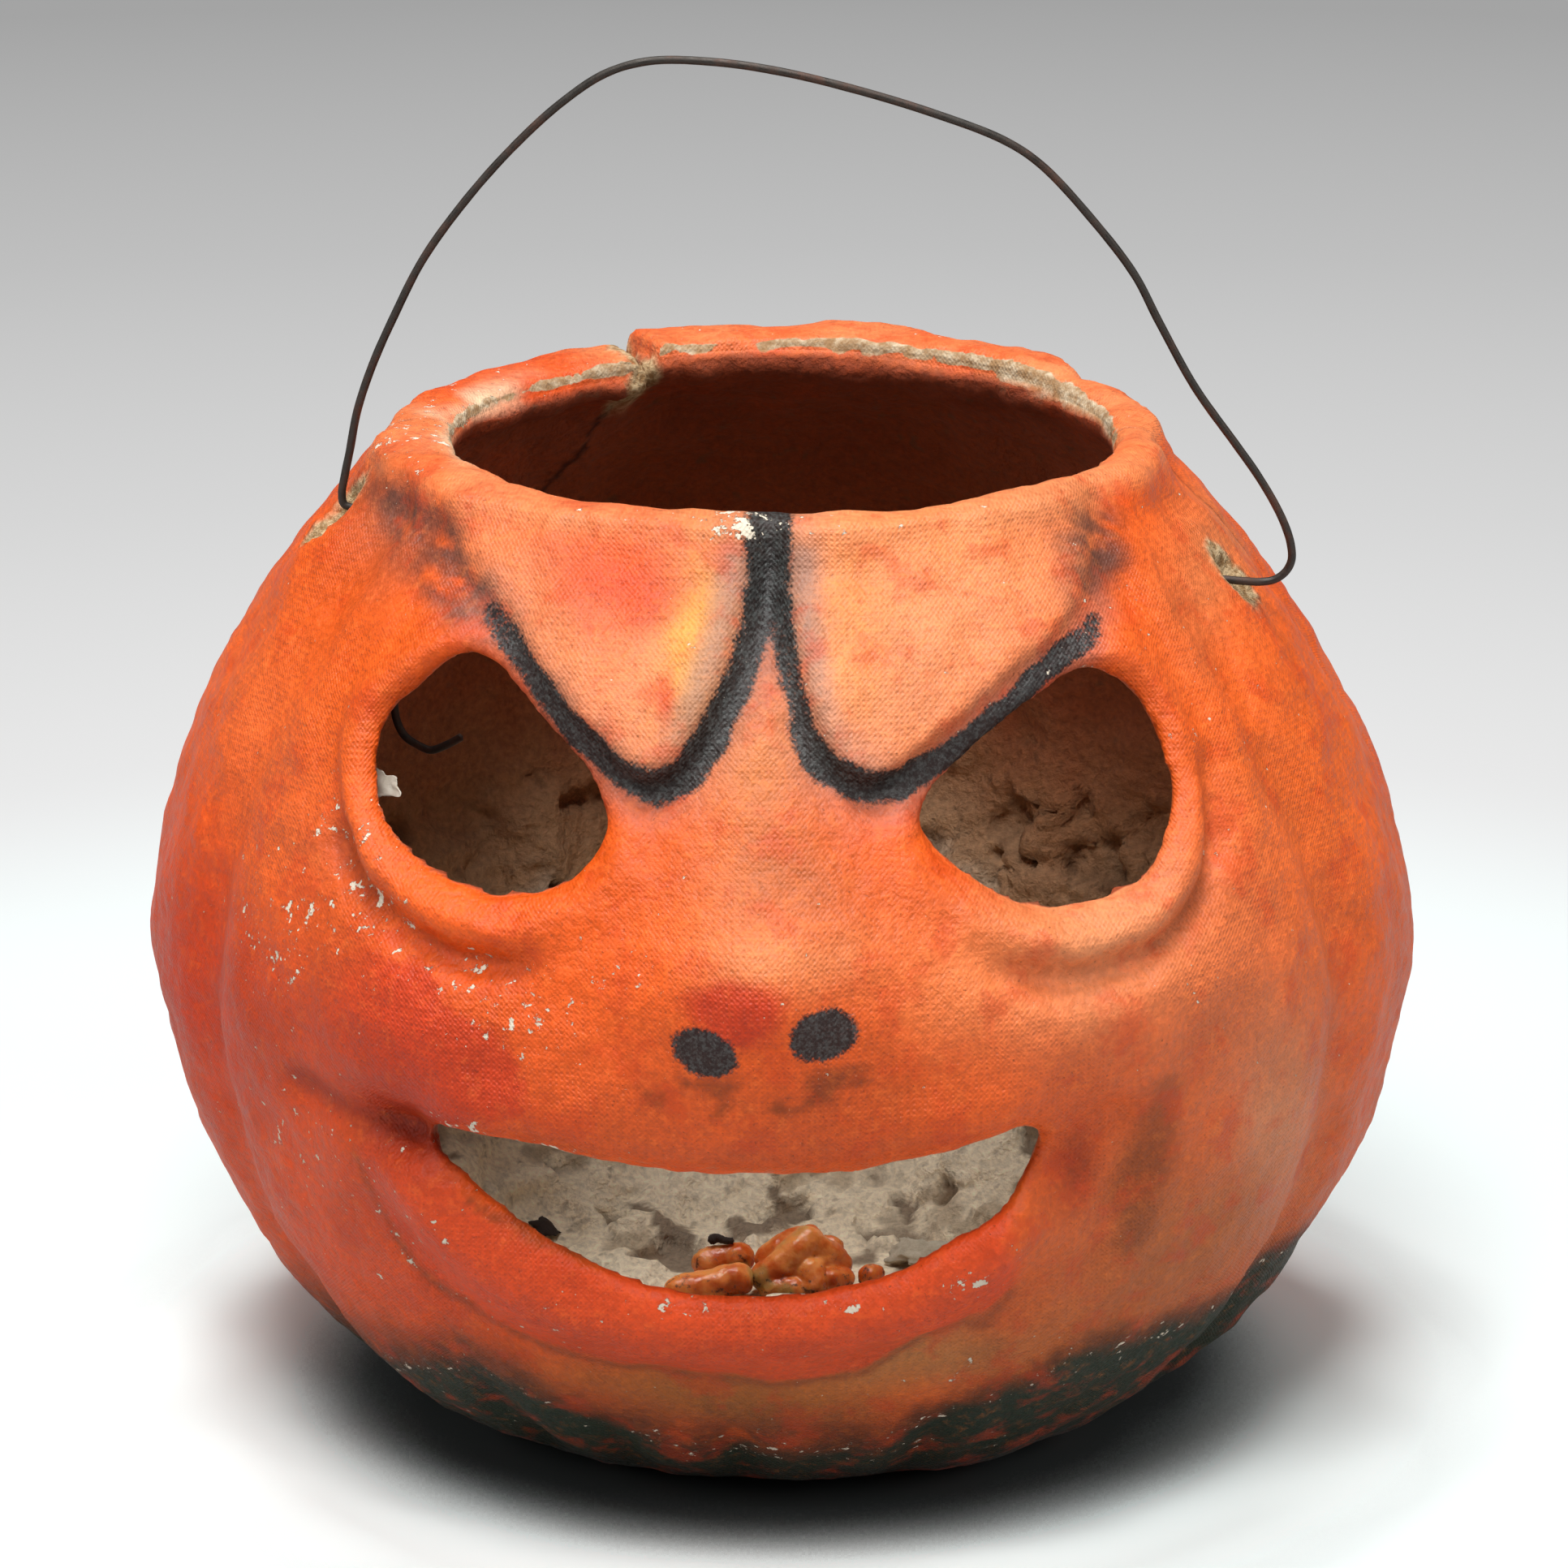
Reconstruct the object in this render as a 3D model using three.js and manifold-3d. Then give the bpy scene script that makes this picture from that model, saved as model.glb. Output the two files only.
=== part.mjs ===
// Pressed paper pulp jack-o'-lantern: two glued shell halves, pasted seam strips, a loose wire bail,
// and the wax, wick and scraps that lie inside.
// Millimetres, +Z up. The face looks along -Y, +X is on the right of somebody looking at the face.
// The origin is the centre of the flat base, and z = 0 is the table.
import * as THREE from 'three';
import Module from 'manifold-3d';
import { mergeVertices } from 'three/addons/utils/BufferGeometryUtils.js';

const wasm = await Module();
wasm.setup();

// Driving dimensions of the shell
const BODY_HEIGHT = 148;
const BELLY_RADIUS = 94.8;
const BELLY_HEIGHT = 74;
const BASE_RADIUS = 46;
const CORNER_RADIUS = 58;
const CORNER_DROP = 2;
const FRONT_FLAT = 6;
const FRONT_TUCK = { most: 2.5, top: 45, full: 5 };
const WALL = 4;
const UNDER_FULLNESS = 1.7;
const SHOULDER_FULLNESS = 1.82;

// Pressed by hand, the body leans a little: the shoulders lean to the left of the belly
const LEAN = { belly: 0.3, shoulder: -1.8, foot: 12, rise: 48 };

// The rim is turned inwards into a flat ledge around an oval mouth
const RIM_HALF_WIDTH = 49;
const RIM_HALF_DEPTH = 46;
const RIM_THICKNESS = 4.5;
const RIM_EASE = 1;
const RIM_BACK_RISE = 1.5;

// The rim cracked at the back, and the shorter side of the crack stands lower
const CRACK_AZIMUTH = -152;
const CRACK_STEP = 2.2;
const CRACK_FADE = 70;
const CRACK_LENGTH = 20;
const CRACK_WIDTH = 3;

// The halves meet in a plane just behind the middle, with room for the glue
const SEAM_Y = 3;
const GLUE_GAP = 0.3;
const STRIP_THICKNESS = 0.9;
const STRIP_BOTTOM = 30;
const STRIP_TOP = 130;

// Pumpkin ribs: the azimuths of the grooves, counted from the face towards +X
const GROOVES = [62, 92, 122, 152, 181, 210, 239, 268, 298];
const GROOVE_DEPTH = 3.2;
const GROOVE_WIDTH = 6;
const GROOVE_FOOT = 9;
const GROOVE_LOSS_AT_RIM = 0.55;
const CHIN_GROOVES = [-34, -20, -4, 20];
const CHIN_GROOVE_DEPTH = 2.6;
const CHIN_GROOVE_WIDTH = 3.6;
const CHIN_GROOVE_TOP = 26;

// How finely the shell is divided
const FACE_STEPS = 64;
const RIB_STEPS = 4;
const UNDER_STEPS = 18;
const SHOULDER_STEPS = 24;

// Face outlines, seen square on: [x, z]
const LEFT_EYE = [
  [-40.6, 129.3], [-29.7, 122.1], [-23.7, 116.4], [-21.4, 111.5], [-24.5, 105.1], [-33.6, 101.1],
  [-42, 101.2], [-51.6, 105.5], [-55.2, 112], [-53.7, 119.9], [-47.8, 125.5],
];
const RIGHT_EYE = [
  [43.1, 128], [49.5, 125], [55.2, 116.7], [56.5, 108], [53, 101.4], [42, 99.4],
  [32.1, 101.9], [23.5, 108], [20.8, 114.2], [25, 119.5], [36.3, 127],
];
const MOUTH = [
  [-44.7, 65.5], [-42.3, 68.5], [-26.6, 68], [-12.9, 66.2], [0, 65.9], [14, 66.5], [27.4, 68.7],
  [38, 71], [38.2, 65], [33.7, 58.3], [25.3, 52.1], [15.1, 46.5], [-0.2, 44.6], [-13.3, 45.9],
  [-24.7, 50], [-33.8, 54.7], [-40.8, 59.9],
];
const LEFT_BROW = [
  [-3.5, 152], [-3.8, 140], [-6, 132], [-10, 123.5], [-13, 119.8], [-16, 119], [-19, 120.5],
  [-24.5, 125], [-31, 131.5], [-37, 137.5], [-42, 142], [-44, 152],
];
const RIGHT_BROW = [
  [3.5, 152], [4, 140], [6.3, 130], [8.5, 123.5], [11.5, 119.8], [15, 118.8], [18.5, 120.3],
  [25, 125], [32.5, 130], [39, 134], [42, 137], [43, 152],
];
const BROW_PROUD = 5;
const BROW_EDGE = 5;
const BROW_FADE = { from: 125, loss: 0.6 };
const EYE_RIM = { proud: 3, offset: 3, width: 3 };
const EYE_CREASE = { deep: 1.8, offset: 8.5, full: 104, top: 118 };
const BROW_SHADE = { near: 1, far: 9 };
const RELIEF_FOOT = { start: 12, full: 30 };
const OPENING_DEPTH = 90;
const OPENING_START = 25;

// Rounded forms of the face: centre x and z, half width, half height, and how far it stands proud
const MOUNDS = [
  { name: 'nose', x: 0, z: 92, wide: 21, tall: 14, proud: 8.5 },
  { name: 'muzzle', x: -3, z: 75, wide: 34, tall: 9, proud: 3.5 },
  { name: 'left cheek', x: -50, z: 82, wide: 16, tall: 13, proud: 4 },
  { name: 'right cheek', x: 45, z: 87, wide: 21, tall: 11, proud: 4 },
  { name: 'left dimple', x: -50, z: 66, wide: 6, tall: 5, proud: -5 },
  { name: 'right dimple', x: 43.5, z: 64.5, wide: 6, tall: 6, proud: -4 },
];

// Folds of the face: a line of [x, z] points, a half width, and how far it stands proud
const FOLDS = [
  {
    name: 'lower lip', width: 6.5, proud: 4.2,
    line: [[-49.5, 60], [-44.7, 52.5], [-36.6, 45.7], [-26.2, 40.8], [-13.5, 38.2], [1.2, 38.2],
      [16.7, 41.7], [27.3, 47], [34, 53.5]],
  },
  {
    name: 'under lip', width: 3, proud: -1.3,
    line: [[-54.1, 57.8], [-48.6, 46.6], [-39.5, 36.7], [-27.8, 31], [-13.8, 29.8], [2.7, 30.6],
      [18.2, 35.5], [29.3, 40.5], [36, 47]],
  },
  {
    name: 'upper lip', width: 4, proud: 1.5,
    line: [[-40, 72], [-20, 70.5], [0, 69.5], [18, 71], [34, 74.5]],
  },
  {
    name: 'left mouth crease', width: 2.6, proud: -2,
    line: [[-50, 66], [-57.4, 67.8], [-65, 68.5]],
  },
  {
    name: 'right mouth crease', width: 3.5, proud: -2.2,
    line: [[50, 70], [52.5, 66], [51, 57.6], [47, 46]],
  },
  { name: 'nose bridge', width: 9, proud: 2.5, line: [[0, 126], [0, 100]] },
  { name: 'brow parting', width: 3, proud: -1.5, line: [[0, 150], [0, 137]] },
  {
    name: 'left brow line', width: 3, proud: -1.6,
    line: [[0, 137], [-7.4, 121.8], [-15.1, 115.8], [-22, 118.5]],
  },
  {
    name: 'right brow line', width: 3, proud: -1.6,
    line: [[0, 137], [5.5, 122], [14, 115.8], [22, 118.5]],
  },
];

// The bail: a round wire hooked through one hole on each side
const WIRE_RADIUS = 0.7;
const WIRE_CLEARANCE = 0.4;
const WIRE_STEPS = 140;
const LEFT_HOLE = { azimuth: -75.9, below: 8.4, tear: { long: 12.6, wide: 5, deep: 1.7 } };
const RIGHT_HOLE = { azimuth: 76.4, below: 17.9, tear: { long: 12.6, wide: 4.4, deep: 1.3 } };
const HOLE_REACH = 12;

// Points of the wire in its own plane: [along the hinge line from the nearer hole, height above it]
const LEFT_LEG = [
  [18.9, -33.6], [16.6, -35.1], [14.5, -36], [12.6, -35.4], [10.6, -34.2], [9.2, -31.8], [8.6, -28],
  [8.2, -20], [8, -10], [7.9, -3.2], [7.4, -1.1], [6, -0.1], [4, 0], [1.2, 0],
];
const BOW_FROM_LEFT = [
  [-0.3, 0.5], [-0.7, 2], [-0.4, 5], [0.1, 8.5], [0.9, 14.7], [2.7, 21.6], [5.5, 29.3], [9.2, 38],
  [14.8, 47.1], [21.1, 55.4], [27.7, 62.5], [33.8, 67.3], [40, 69.6], [49.3, 70.2], [58.6, 69.6],
];
const BOW_FROM_RIGHT = [
  [-62.2, 68], [-50.3, 65.4], [-39.6, 62.2], [-34.1, 59.1], [-25.9, 51.5], [-19.4, 44.2], [-15.3, 37.6],
  [-9.2, 28.3], [-2.6, 20.4], [0.8, 16.3], [3.8, 12.1], [5.7, 8.8], [6.8, 6], [7.1, 3.7], [6.4, 1.9],
  [4.9, 0.6], [3, 0.1], [1, 0],
];
const RIGHT_LEG = [[-2, 0], [-5.4, 0], [-7, -0.3], [-7.9, -1.5], [-8.1, -4], [-8, -9]];

// What lies inside keeps this far from what it rests on
const LIE_GAP = 0.3;

// Wax left by old candles: middle x and y, and half sizes, or the ends and the radius of a run
const WAX_MOUND = { x: 2.5, y: 20, wide: 7.5, deep: 6.5, tall: 7.6 };
const FRONT_DRIP = { from: [-17, 13.2], to: [-6.5, 15.6], radius: 3 };
const BACK_DRIP = { from: [-14.5, 23], to: [-6.5, 24.6], radius: 2.6 };
const REAR_DRIP = { from: [-1, 30.5], to: [8.5, 31], radius: 2.4 };
const WAX_CRUMB = { x: 13.4, y: 21.5, radius: 2.4, tall: 3.4 };
const WICK_RADIUS = 0.8;
const WICK_TIP_RADIUS = 0.56;
const WICK_LENGTH = 3.6;

// Scraps: a flake lifted off the floor, a charred scrap, and the rest of a paper pasted behind an eye
const FLAKE = [[16, 29.5, 0], [26, 24, 0], [28, 27.5, 3], [18.5, 33, 3.2]];
const FLAKE_THICKNESS = 0.9;
const CHAR_SPOT = { place: 0.17, azimuth: 227.5, wide: 2.6, tall: 0.035, thickness: 0.8 };
const EYE_SCRAP = { azimuth: -46.5, low: 1.49, high: 1.57, tip: [-40.5, 1.535], thickness: 0.5 };

const PULP_ORANGE = 0xd9541e;
const PULP_BACK = 0xcf4f1d;
const PULP_RAW = 0xb9a68c;
const WIRE_BROWN = 0x4a4038;
const WAX_AMBER = 0xc96a35;
const CHARRED = 0x2b211c;
const PAPER_WHITE = 0xd8d2c4;

const radians = (degrees) => THREE.MathUtils.degToRad(degrees);

// Eases from 0 to 1 as the value goes from one end to the other, whichever of them is larger
function ease(value, from, to) {
  const t = THREE.MathUtils.clamp((value - from) / (to - from), 0, 1);
  return t * t * (3 - 2 * t);
}

// Solids for cutting and joining

function solidOf(geometry) {
  const bare = geometry.clone();
  bare.deleteAttribute('normal');
  bare.deleteAttribute('uv');
  const merged = mergeVertices(bare, 1e-4);
  const points = new Float32Array(merged.attributes.position.array);
  const corners = [];
  const index = merged.index.array;
  for (let i = 0; i < index.length; i += 3) {
    const [a, b, c] = [index[i], index[i + 1], index[i + 2]];
    if (a !== b && b !== c && c !== a) corners.push(a, b, c);
  }
  const mesh = new wasm.Mesh({ numProp: 3, vertProperties: points, triVerts: new Uint32Array(corners) });
  return new wasm.Manifold(mesh);
}

function addPart(name, solid, color, roughness, metalness = 0) {
  const { numProp, vertProperties, triVerts } = solid.getMesh();
  const points = new Float32Array((vertProperties.length / numProp) * 3);
  for (let i = 0; i < points.length / 3; i++) {
    for (let axis = 0; axis < 3; axis++) points[3 * i + axis] = vertProperties[numProp * i + axis];
  }
  const geometry = new THREE.BufferGeometry();
  geometry.setAttribute('position', new THREE.BufferAttribute(points, 3));
  geometry.setIndex(new THREE.BufferAttribute(new Uint32Array(triVerts), 1));
  geometry.computeVertexNormals();
  const mesh = new THREE.Mesh(geometry, new THREE.MeshStandardMaterial({ color, roughness, metalness }));
  mesh.name = name;
  group.add(mesh);
}

const group = new THREE.Group();

// Plane geometry of the face outlines and folds

function smoothLine(points, closed, count) {
  const knots = points.map(([x, z]) => new THREE.Vector3(x, 0, z));
  const curve = new THREE.CatmullRomCurve3(knots, closed, 'centripetal');
  return curve.getPoints(count).map((p) => [p.x, p.z]);
}

function distanceTo(line, x, z) {
  let nearest = Infinity;
  for (let i = 1; i < line.length; i++) {
    const [ax, az] = line[i - 1];
    const [bx, bz] = line[i];
    const along = ((x - ax) * (bx - ax) + (z - az) * (bz - az)) / ((bx - ax) ** 2 + (bz - az) ** 2 || 1);
    const t = THREE.MathUtils.clamp(along, 0, 1);
    nearest = Math.min(nearest, Math.hypot(x - ax - t * (bx - ax), z - az - t * (bz - az)));
  }
  return nearest;
}

function inside(line, x, z) {
  let odd = false;
  for (let i = 0, j = line.length - 1; i < line.length; j = i++) {
    const [ax, az] = line[i];
    const [bx, bz] = line[j];
    if (az > z !== bz > z && x < ((bx - ax) * (z - az)) / (bz - az) + ax) odd = !odd;
  }
  return odd;
}

const swell = (distance, width) => Math.exp(-((distance / width) ** 2));

const eyeLines = [smoothLine(LEFT_EYE, true, 44), smoothLine(RIGHT_EYE, true, 44)];
const browLines = [smoothLine(LEFT_BROW, true, 40), smoothLine(RIGHT_BROW, true, 40)];
const foldLines = FOLDS.map(({ line }) => smoothLine(line, false, 18));

// How far the face stands proud of the plain pumpkin at a point seen square on.
// The inside of the wall doesn't show the fine rims of the eyes.
function relief(x, z, outside) {
  let proud = 0;
  for (const mound of MOUNDS) {
    const away = Math.hypot((x - mound.x) / mound.wide, (z - mound.z) / mound.tall);
    proud += mound.proud * swell(away, 1);
  }
  FOLDS.forEach((fold, i) => {
    proud += fold.proud * swell(distanceTo(foldLines[i], x, z), fold.width);
  });
  let nearBrow = outside ? 0 : 1;
  for (const line of browLines) {
    const depth = distanceTo(line, x, z) * (inside(line, x, z) ? 1 : -1);
    const kept = 1 - BROW_FADE.loss * ease(z, BROW_FADE.from, BODY_HEIGHT);
    proud += BROW_PROUD * ease(depth, 0, BROW_EDGE) * kept;
    nearBrow = Math.max(nearBrow, ease(depth, -BROW_SHADE.far, -BROW_SHADE.near));
  }
  for (const line of eyeLines) {
    const away = distanceTo(line, x, z) * (inside(line, x, z) ? -1 : 1);
    const rim = EYE_RIM.proud * swell(away - EYE_RIM.offset, EYE_RIM.width);
    const crease = EYE_CREASE.deep * swell(away - EYE_CREASE.offset, EYE_RIM.width);
    proud += (rim - crease * ease(z, EYE_CREASE.top, EYE_CREASE.full)) * (1 - nearBrow);
  }
  return proud;
}

// The pumpkin, as points on its outer skin and at any depth below it

function ribs(azimuth, z) {
  const radius = bodyRadius(z, azimuth);
  let cut = 0;
  for (const groove of GROOVES) {
    const turn = THREE.MathUtils.euclideanModulo(azimuth - groove + 180, 360) - 180;
    cut += GROOVE_DEPTH * swell(radians(turn) * radius, GROOVE_WIDTH);
  }
  const low = ease(z, CHIN_GROOVE_TOP, CHIN_GROOVE_TOP / 2);
  for (const groove of CHIN_GROOVES) {
    cut += CHIN_GROOVE_DEPTH * low * swell(radians(azimuth - groove) * radius, CHIN_GROOVE_WIDTH);
  }
  const kept = 1 - GROOVE_LOSS_AT_RIM * ease(z, BELLY_HEIGHT, BODY_HEIGHT);
  return -cut * ease(z, 0, GROOVE_FOOT) * kept;
}

function bodyRadius(z, azimuth) {
  const front = Math.max(0, Math.cos(radians(azimuth))) ** 2;
  if (z < BELLY_HEIGHT) {
    const left = 1 - Math.max(z, 0) / BELLY_HEIGHT;
    const tuck = FRONT_TUCK.most * front * ease(z, FRONT_TUCK.top, FRONT_TUCK.full);
    const full = (1 - left ** UNDER_FULLNESS) ** (1 / UNDER_FULLNESS);
    return BASE_RADIUS - tuck + (BELLY_RADIUS - BASE_RADIUS) * full;
  }
  const corner = CORNER_RADIUS - FRONT_FLAT * front;
  const climb = Math.min(1, (z - BELLY_HEIGHT) / (BODY_HEIGHT - CORNER_DROP - BELLY_HEIGHT));
  return corner + (BELLY_RADIUS - corner) * (1 - climb ** SHOULDER_FULLNESS);
}

// Height for a place on the profile: 0 at the base edge, 1 at the belly, 2 at the corner of the rim
function profileHeight(place) {
  if (place <= 1) return BELLY_HEIGHT * (1 - Math.cos((place * Math.PI) / 2) ** (2 / UNDER_FULLNESS));
  return BELLY_HEIGHT + (place - 1) * (BODY_HEIGHT - CORNER_DROP - BELLY_HEIGHT);
}

function profileNormal(place, azimuth) {
  const step = 0.01;
  const low = profileHeight(Math.max(0, place - step));
  const high = profileHeight(Math.min(2, place + step));
  const widening = bodyRadius(high, azimuth) - bodyRadius(low, azimuth);
  const slope = new THREE.Vector2(widening, high - low).normalize();
  return { out: slope.y, up: -slope.x };
}

function polar(azimuth, radius, z) {
  return new THREE.Vector3(radius * Math.sin(radians(azimuth)), -radius * Math.cos(radians(azimuth)), z);
}

function lean(z) {
  const risen = ease(z, BELLY_HEIGHT, BELLY_HEIGHT + LEAN.rise);
  return (LEAN.belly + (LEAN.shoulder - LEAN.belly) * risen) * ease(z, 0, LEAN.foot);
}

function leaning(azimuth, radius, z) {
  const point = polar(azimuth, radius, z);
  point.x += lean(z);
  return point;
}

function wallPoint(place, azimuth, depth) {
  const z = profileHeight(place);
  const plain = bodyRadius(z, azimuth);
  const facing = Math.cos(radians(azimuth)) > 0;
  const across = plain * Math.sin(radians(azimuth)) + lean(z);
  const lowered = ease(z, RELIEF_FOOT.start, RELIEF_FOOT.full);
  const face = facing ? relief(across, z, depth === 0) * lowered : 0;
  const radius = plain + ribs(azimuth, z) + face;
  const { out, up } = profileNormal(place, azimuth);
  return leaning(azimuth, radius - depth * out, z - depth * up);
}

function rimInner(azimuth) {
  const across = Math.sin(radians(azimuth)) / RIM_HALF_WIDTH;
  const deep = Math.cos(radians(azimuth)) / RIM_HALF_DEPTH;
  return 1 / Math.hypot(across, deep);
}

// The rim sags from the crack towards the left side
function rimSag(azimuth) {
  const past = THREE.MathUtils.euclideanModulo(azimuth - CRACK_AZIMUTH, 360);
  return past < CRACK_FADE ? CRACK_STEP * (1 - past / CRACK_FADE) : 0;
}

// Shell as one closed skin: rings of points from the middle of the base, up the outside,
// over the rim, down the inside and back to the middle of the floor

function outerAzimuths() {
  const first = GROOVES[0];
  const last = GROOVES[GROOVES.length - 1] - 360;
  const list = [];
  for (let i = 0; i < FACE_STEPS; i++) list.push(last + ((first - last) * i) / FACE_STEPS);
  for (let g = 1; g < GROOVES.length; g++) {
    for (let i = 0; i < RIB_STEPS; i++) {
      list.push(GROOVES[g - 1] + ((GROOVES[g] - GROOVES[g - 1]) * i) / RIB_STEPS);
    }
  }
  return list;
}

const OUTER = outerAzimuths();
const INNER = OUTER.filter((azimuth, i) => i >= FACE_STEPS || i % 2 === 0);

// Joins two closed rings whose azimuths both start at the same place
function joinRings(corners, lower, upper) {
  let [i, j] = [0, 0];
  while (i < lower.at.length || j < upper.at.length) {
    const nextLower = i < lower.at.length ? lower.turn(i + 1) : Infinity;
    const nextUpper = j < upper.at.length ? upper.turn(j + 1) : Infinity;
    const a = lower.at[i % lower.at.length];
    const b = upper.at[j % upper.at.length];
    if (nextLower <= nextUpper) {
      corners.push(a, lower.at[(i + 1) % lower.at.length], b);
      i++;
    } else {
      corners.push(a, upper.at[(j + 1) % upper.at.length], b);
      j++;
    }
  }
}

function shellSolid() {
  const points = [];
  const rings = [];
  const put = (p) => points.push(p.x, p.y, p.z) / 3 - 1;
  const ring = (azimuths, place) => {
    const at = azimuths.map((azimuth) => put(place(azimuth)));
    const turn = (i) => (i < azimuths.length ? azimuths[i] : azimuths[0] + 360);
    rings.push({ at, turn });
  };
  const rise = (azimuth) => RIM_BACK_RISE * Math.max(0, -Math.cos(radians(azimuth)));
  const top = (azimuth) => BODY_HEIGHT + rise(azimuth) - rimSag(azimuth);
  const baseMiddle = put(new THREE.Vector3(0, 0, 0));
  ring(INNER, (azimuth) => polar(azimuth, BASE_RADIUS / 2, 0));
  for (let i = 0; i <= UNDER_STEPS; i++) {
    ring(OUTER, (azimuth) => wallPoint(i / UNDER_STEPS, azimuth, 0));
  }
  for (let i = 1; i < SHOULDER_STEPS; i++) {
    ring(OUTER, (azimuth) => wallPoint(1 + i / SHOULDER_STEPS, azimuth, 0));
  }
  ring(OUTER, (azimuth) => wallPoint(2, azimuth, 0).setZ(top(azimuth) - CORNER_DROP));
  ring(OUTER, (azimuth) => {
    const corner = wallPoint(2, azimuth, 0);
    const radius = Math.hypot(corner.x - lean(BODY_HEIGHT), corner.y);
    return leaning(azimuth, radius - CORNER_DROP, top(azimuth));
  });
  ring(OUTER, (azimuth) => polar(azimuth, rimInner(azimuth) + RIM_EASE, top(azimuth)));
  ring(INNER, (azimuth) => polar(azimuth, rimInner(azimuth), top(azimuth) - RIM_EASE));
  ring(INNER, (azimuth) => polar(azimuth, rimInner(azimuth), top(azimuth) - RIM_THICKNESS));
  ring(INNER, (azimuth) => wallPoint(2 - 1 / SHOULDER_STEPS, azimuth, WALL));
  for (let i = SHOULDER_STEPS - 2; i > 0; i -= 2) {
    ring(INNER, (azimuth) => wallPoint(1 + i / SHOULDER_STEPS, azimuth, WALL));
  }
  for (let i = UNDER_STEPS; i >= 0; i -= 2) {
    ring(INNER, (azimuth) => wallPoint(i / UNDER_STEPS, azimuth, WALL));
  }
  ring(INNER, (azimuth) => polar(azimuth, BASE_RADIUS / 2, WALL));
  const floorMiddle = put(new THREE.Vector3(0, 0, WALL));
  const corners = [];
  for (let r = 1; r < rings.length; r++) joinRings(corners, rings[r - 1], rings[r]);
  const count = INNER.length;
  const [below, above] = [rings[0].at, rings[rings.length - 1].at];
  for (let i = 0; i < count; i++) {
    corners.push(baseMiddle, below[(i + 1) % count], below[i]);
    corners.push(floorMiddle, above[i], above[(i + 1) % count]);
  }
  const geometry = new THREE.BufferGeometry();
  geometry.setAttribute('position', new THREE.BufferAttribute(new Float32Array(points), 3));
  geometry.setIndex(corners);
  return solidOf(geometry);
}

// An opening is an outline pushed straight back through the wall
function openingSolid(outline, count) {
  const line = smoothLine(outline, true, count).slice(0, -1);
  const shape = new THREE.Shape(line.map(([x, z]) => new THREE.Vector2(x, z)));
  const geometry = new THREE.ExtrudeGeometry(shape, { depth: OPENING_DEPTH, bevelEnabled: false });
  geometry.rotateX(Math.PI / 2);
  geometry.translate(0, -OPENING_START, 0);
  return solidOf(geometry);
}

// Holes of the bail and the hinge line between them

function skinPoint({ azimuth, below }) {
  const height = BODY_HEIGHT - below;
  return leaning(azimuth, bodyRadius(height, azimuth) + ribs(azimuth, height), height);
}

const leftHole = skinPoint(LEFT_HOLE);
const rightHole = skinPoint(RIGHT_HOLE);
const hinge = rightHole.clone().sub(leftHole).normalize();
const bailUp = new THREE.Vector3(0, 0, 1).addScaledVector(hinge, -hinge.z).normalize();

// The hole follows the hinge line through the slanting wall
function holeSolid(hole) {
  const radius = WIRE_RADIUS + WIRE_CLEARANCE;
  const geometry = new THREE.CylinderGeometry(radius, radius, 2 * HOLE_REACH, 10);
  geometry.applyQuaternion(new THREE.Quaternion().setFromUnitVectors(new THREE.Vector3(0, 1, 0), hinge));
  geometry.translate(hole.x, hole.y, hole.z);
  return solidOf(geometry);
}

// The pulp is torn away around each hole, more up and down the slope than across it
function tearSolid(hole, { azimuth, tear }) {
  const place = 1 + (hole.z - BELLY_HEIGHT) / (BODY_HEIGHT - CORNER_DROP - BELLY_HEIGHT);
  const { out, up } = profileNormal(place, azimuth);
  const geometry = new THREE.SphereGeometry(1, 12, 8);
  geometry.scale(tear.deep, tear.wide / 2, tear.long / 2);
  geometry.rotateY(-Math.atan2(up, out));
  geometry.rotateZ(radians(azimuth - 90));
  geometry.translate(hole.x, hole.y, hole.z);
  return solidOf(geometry);
}

// The crack is a narrow wedge through the rim and the wall below it
function crackSolid() {
  const shape = new THREE.Shape([
    new THREE.Vector2(-CRACK_WIDTH / 2, 2 * CRACK_STEP),
    new THREE.Vector2(CRACK_WIDTH / 6, -CRACK_LENGTH * 0.45),
    new THREE.Vector2(-CRACK_WIDTH / 5, -CRACK_LENGTH),
    new THREE.Vector2(CRACK_WIDTH / 2, -CRACK_LENGTH * 0.4),
    new THREE.Vector2(CRACK_WIDTH / 2, 2 * CRACK_STEP),
  ]);
  const geometry = new THREE.ExtrudeGeometry(shape, { depth: BELLY_RADIUS, bevelEnabled: false });
  geometry.rotateX(Math.PI / 2);
  geometry.rotateZ(radians(CRACK_AZIMUTH));
  geometry.translate(0, 0, BODY_HEIGHT);
  return solidOf(geometry);
}

// All that lies on one side of the glued seam
function seamSide(front) {
  const size = 4 * BELLY_RADIUS;
  const away = (size + GLUE_GAP) / 2;
  const geometry = new THREE.BoxGeometry(size, size, size);
  geometry.translate(0, front ? SEAM_Y - away : SEAM_Y + away, 0);
  return solidOf(geometry);
}

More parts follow.
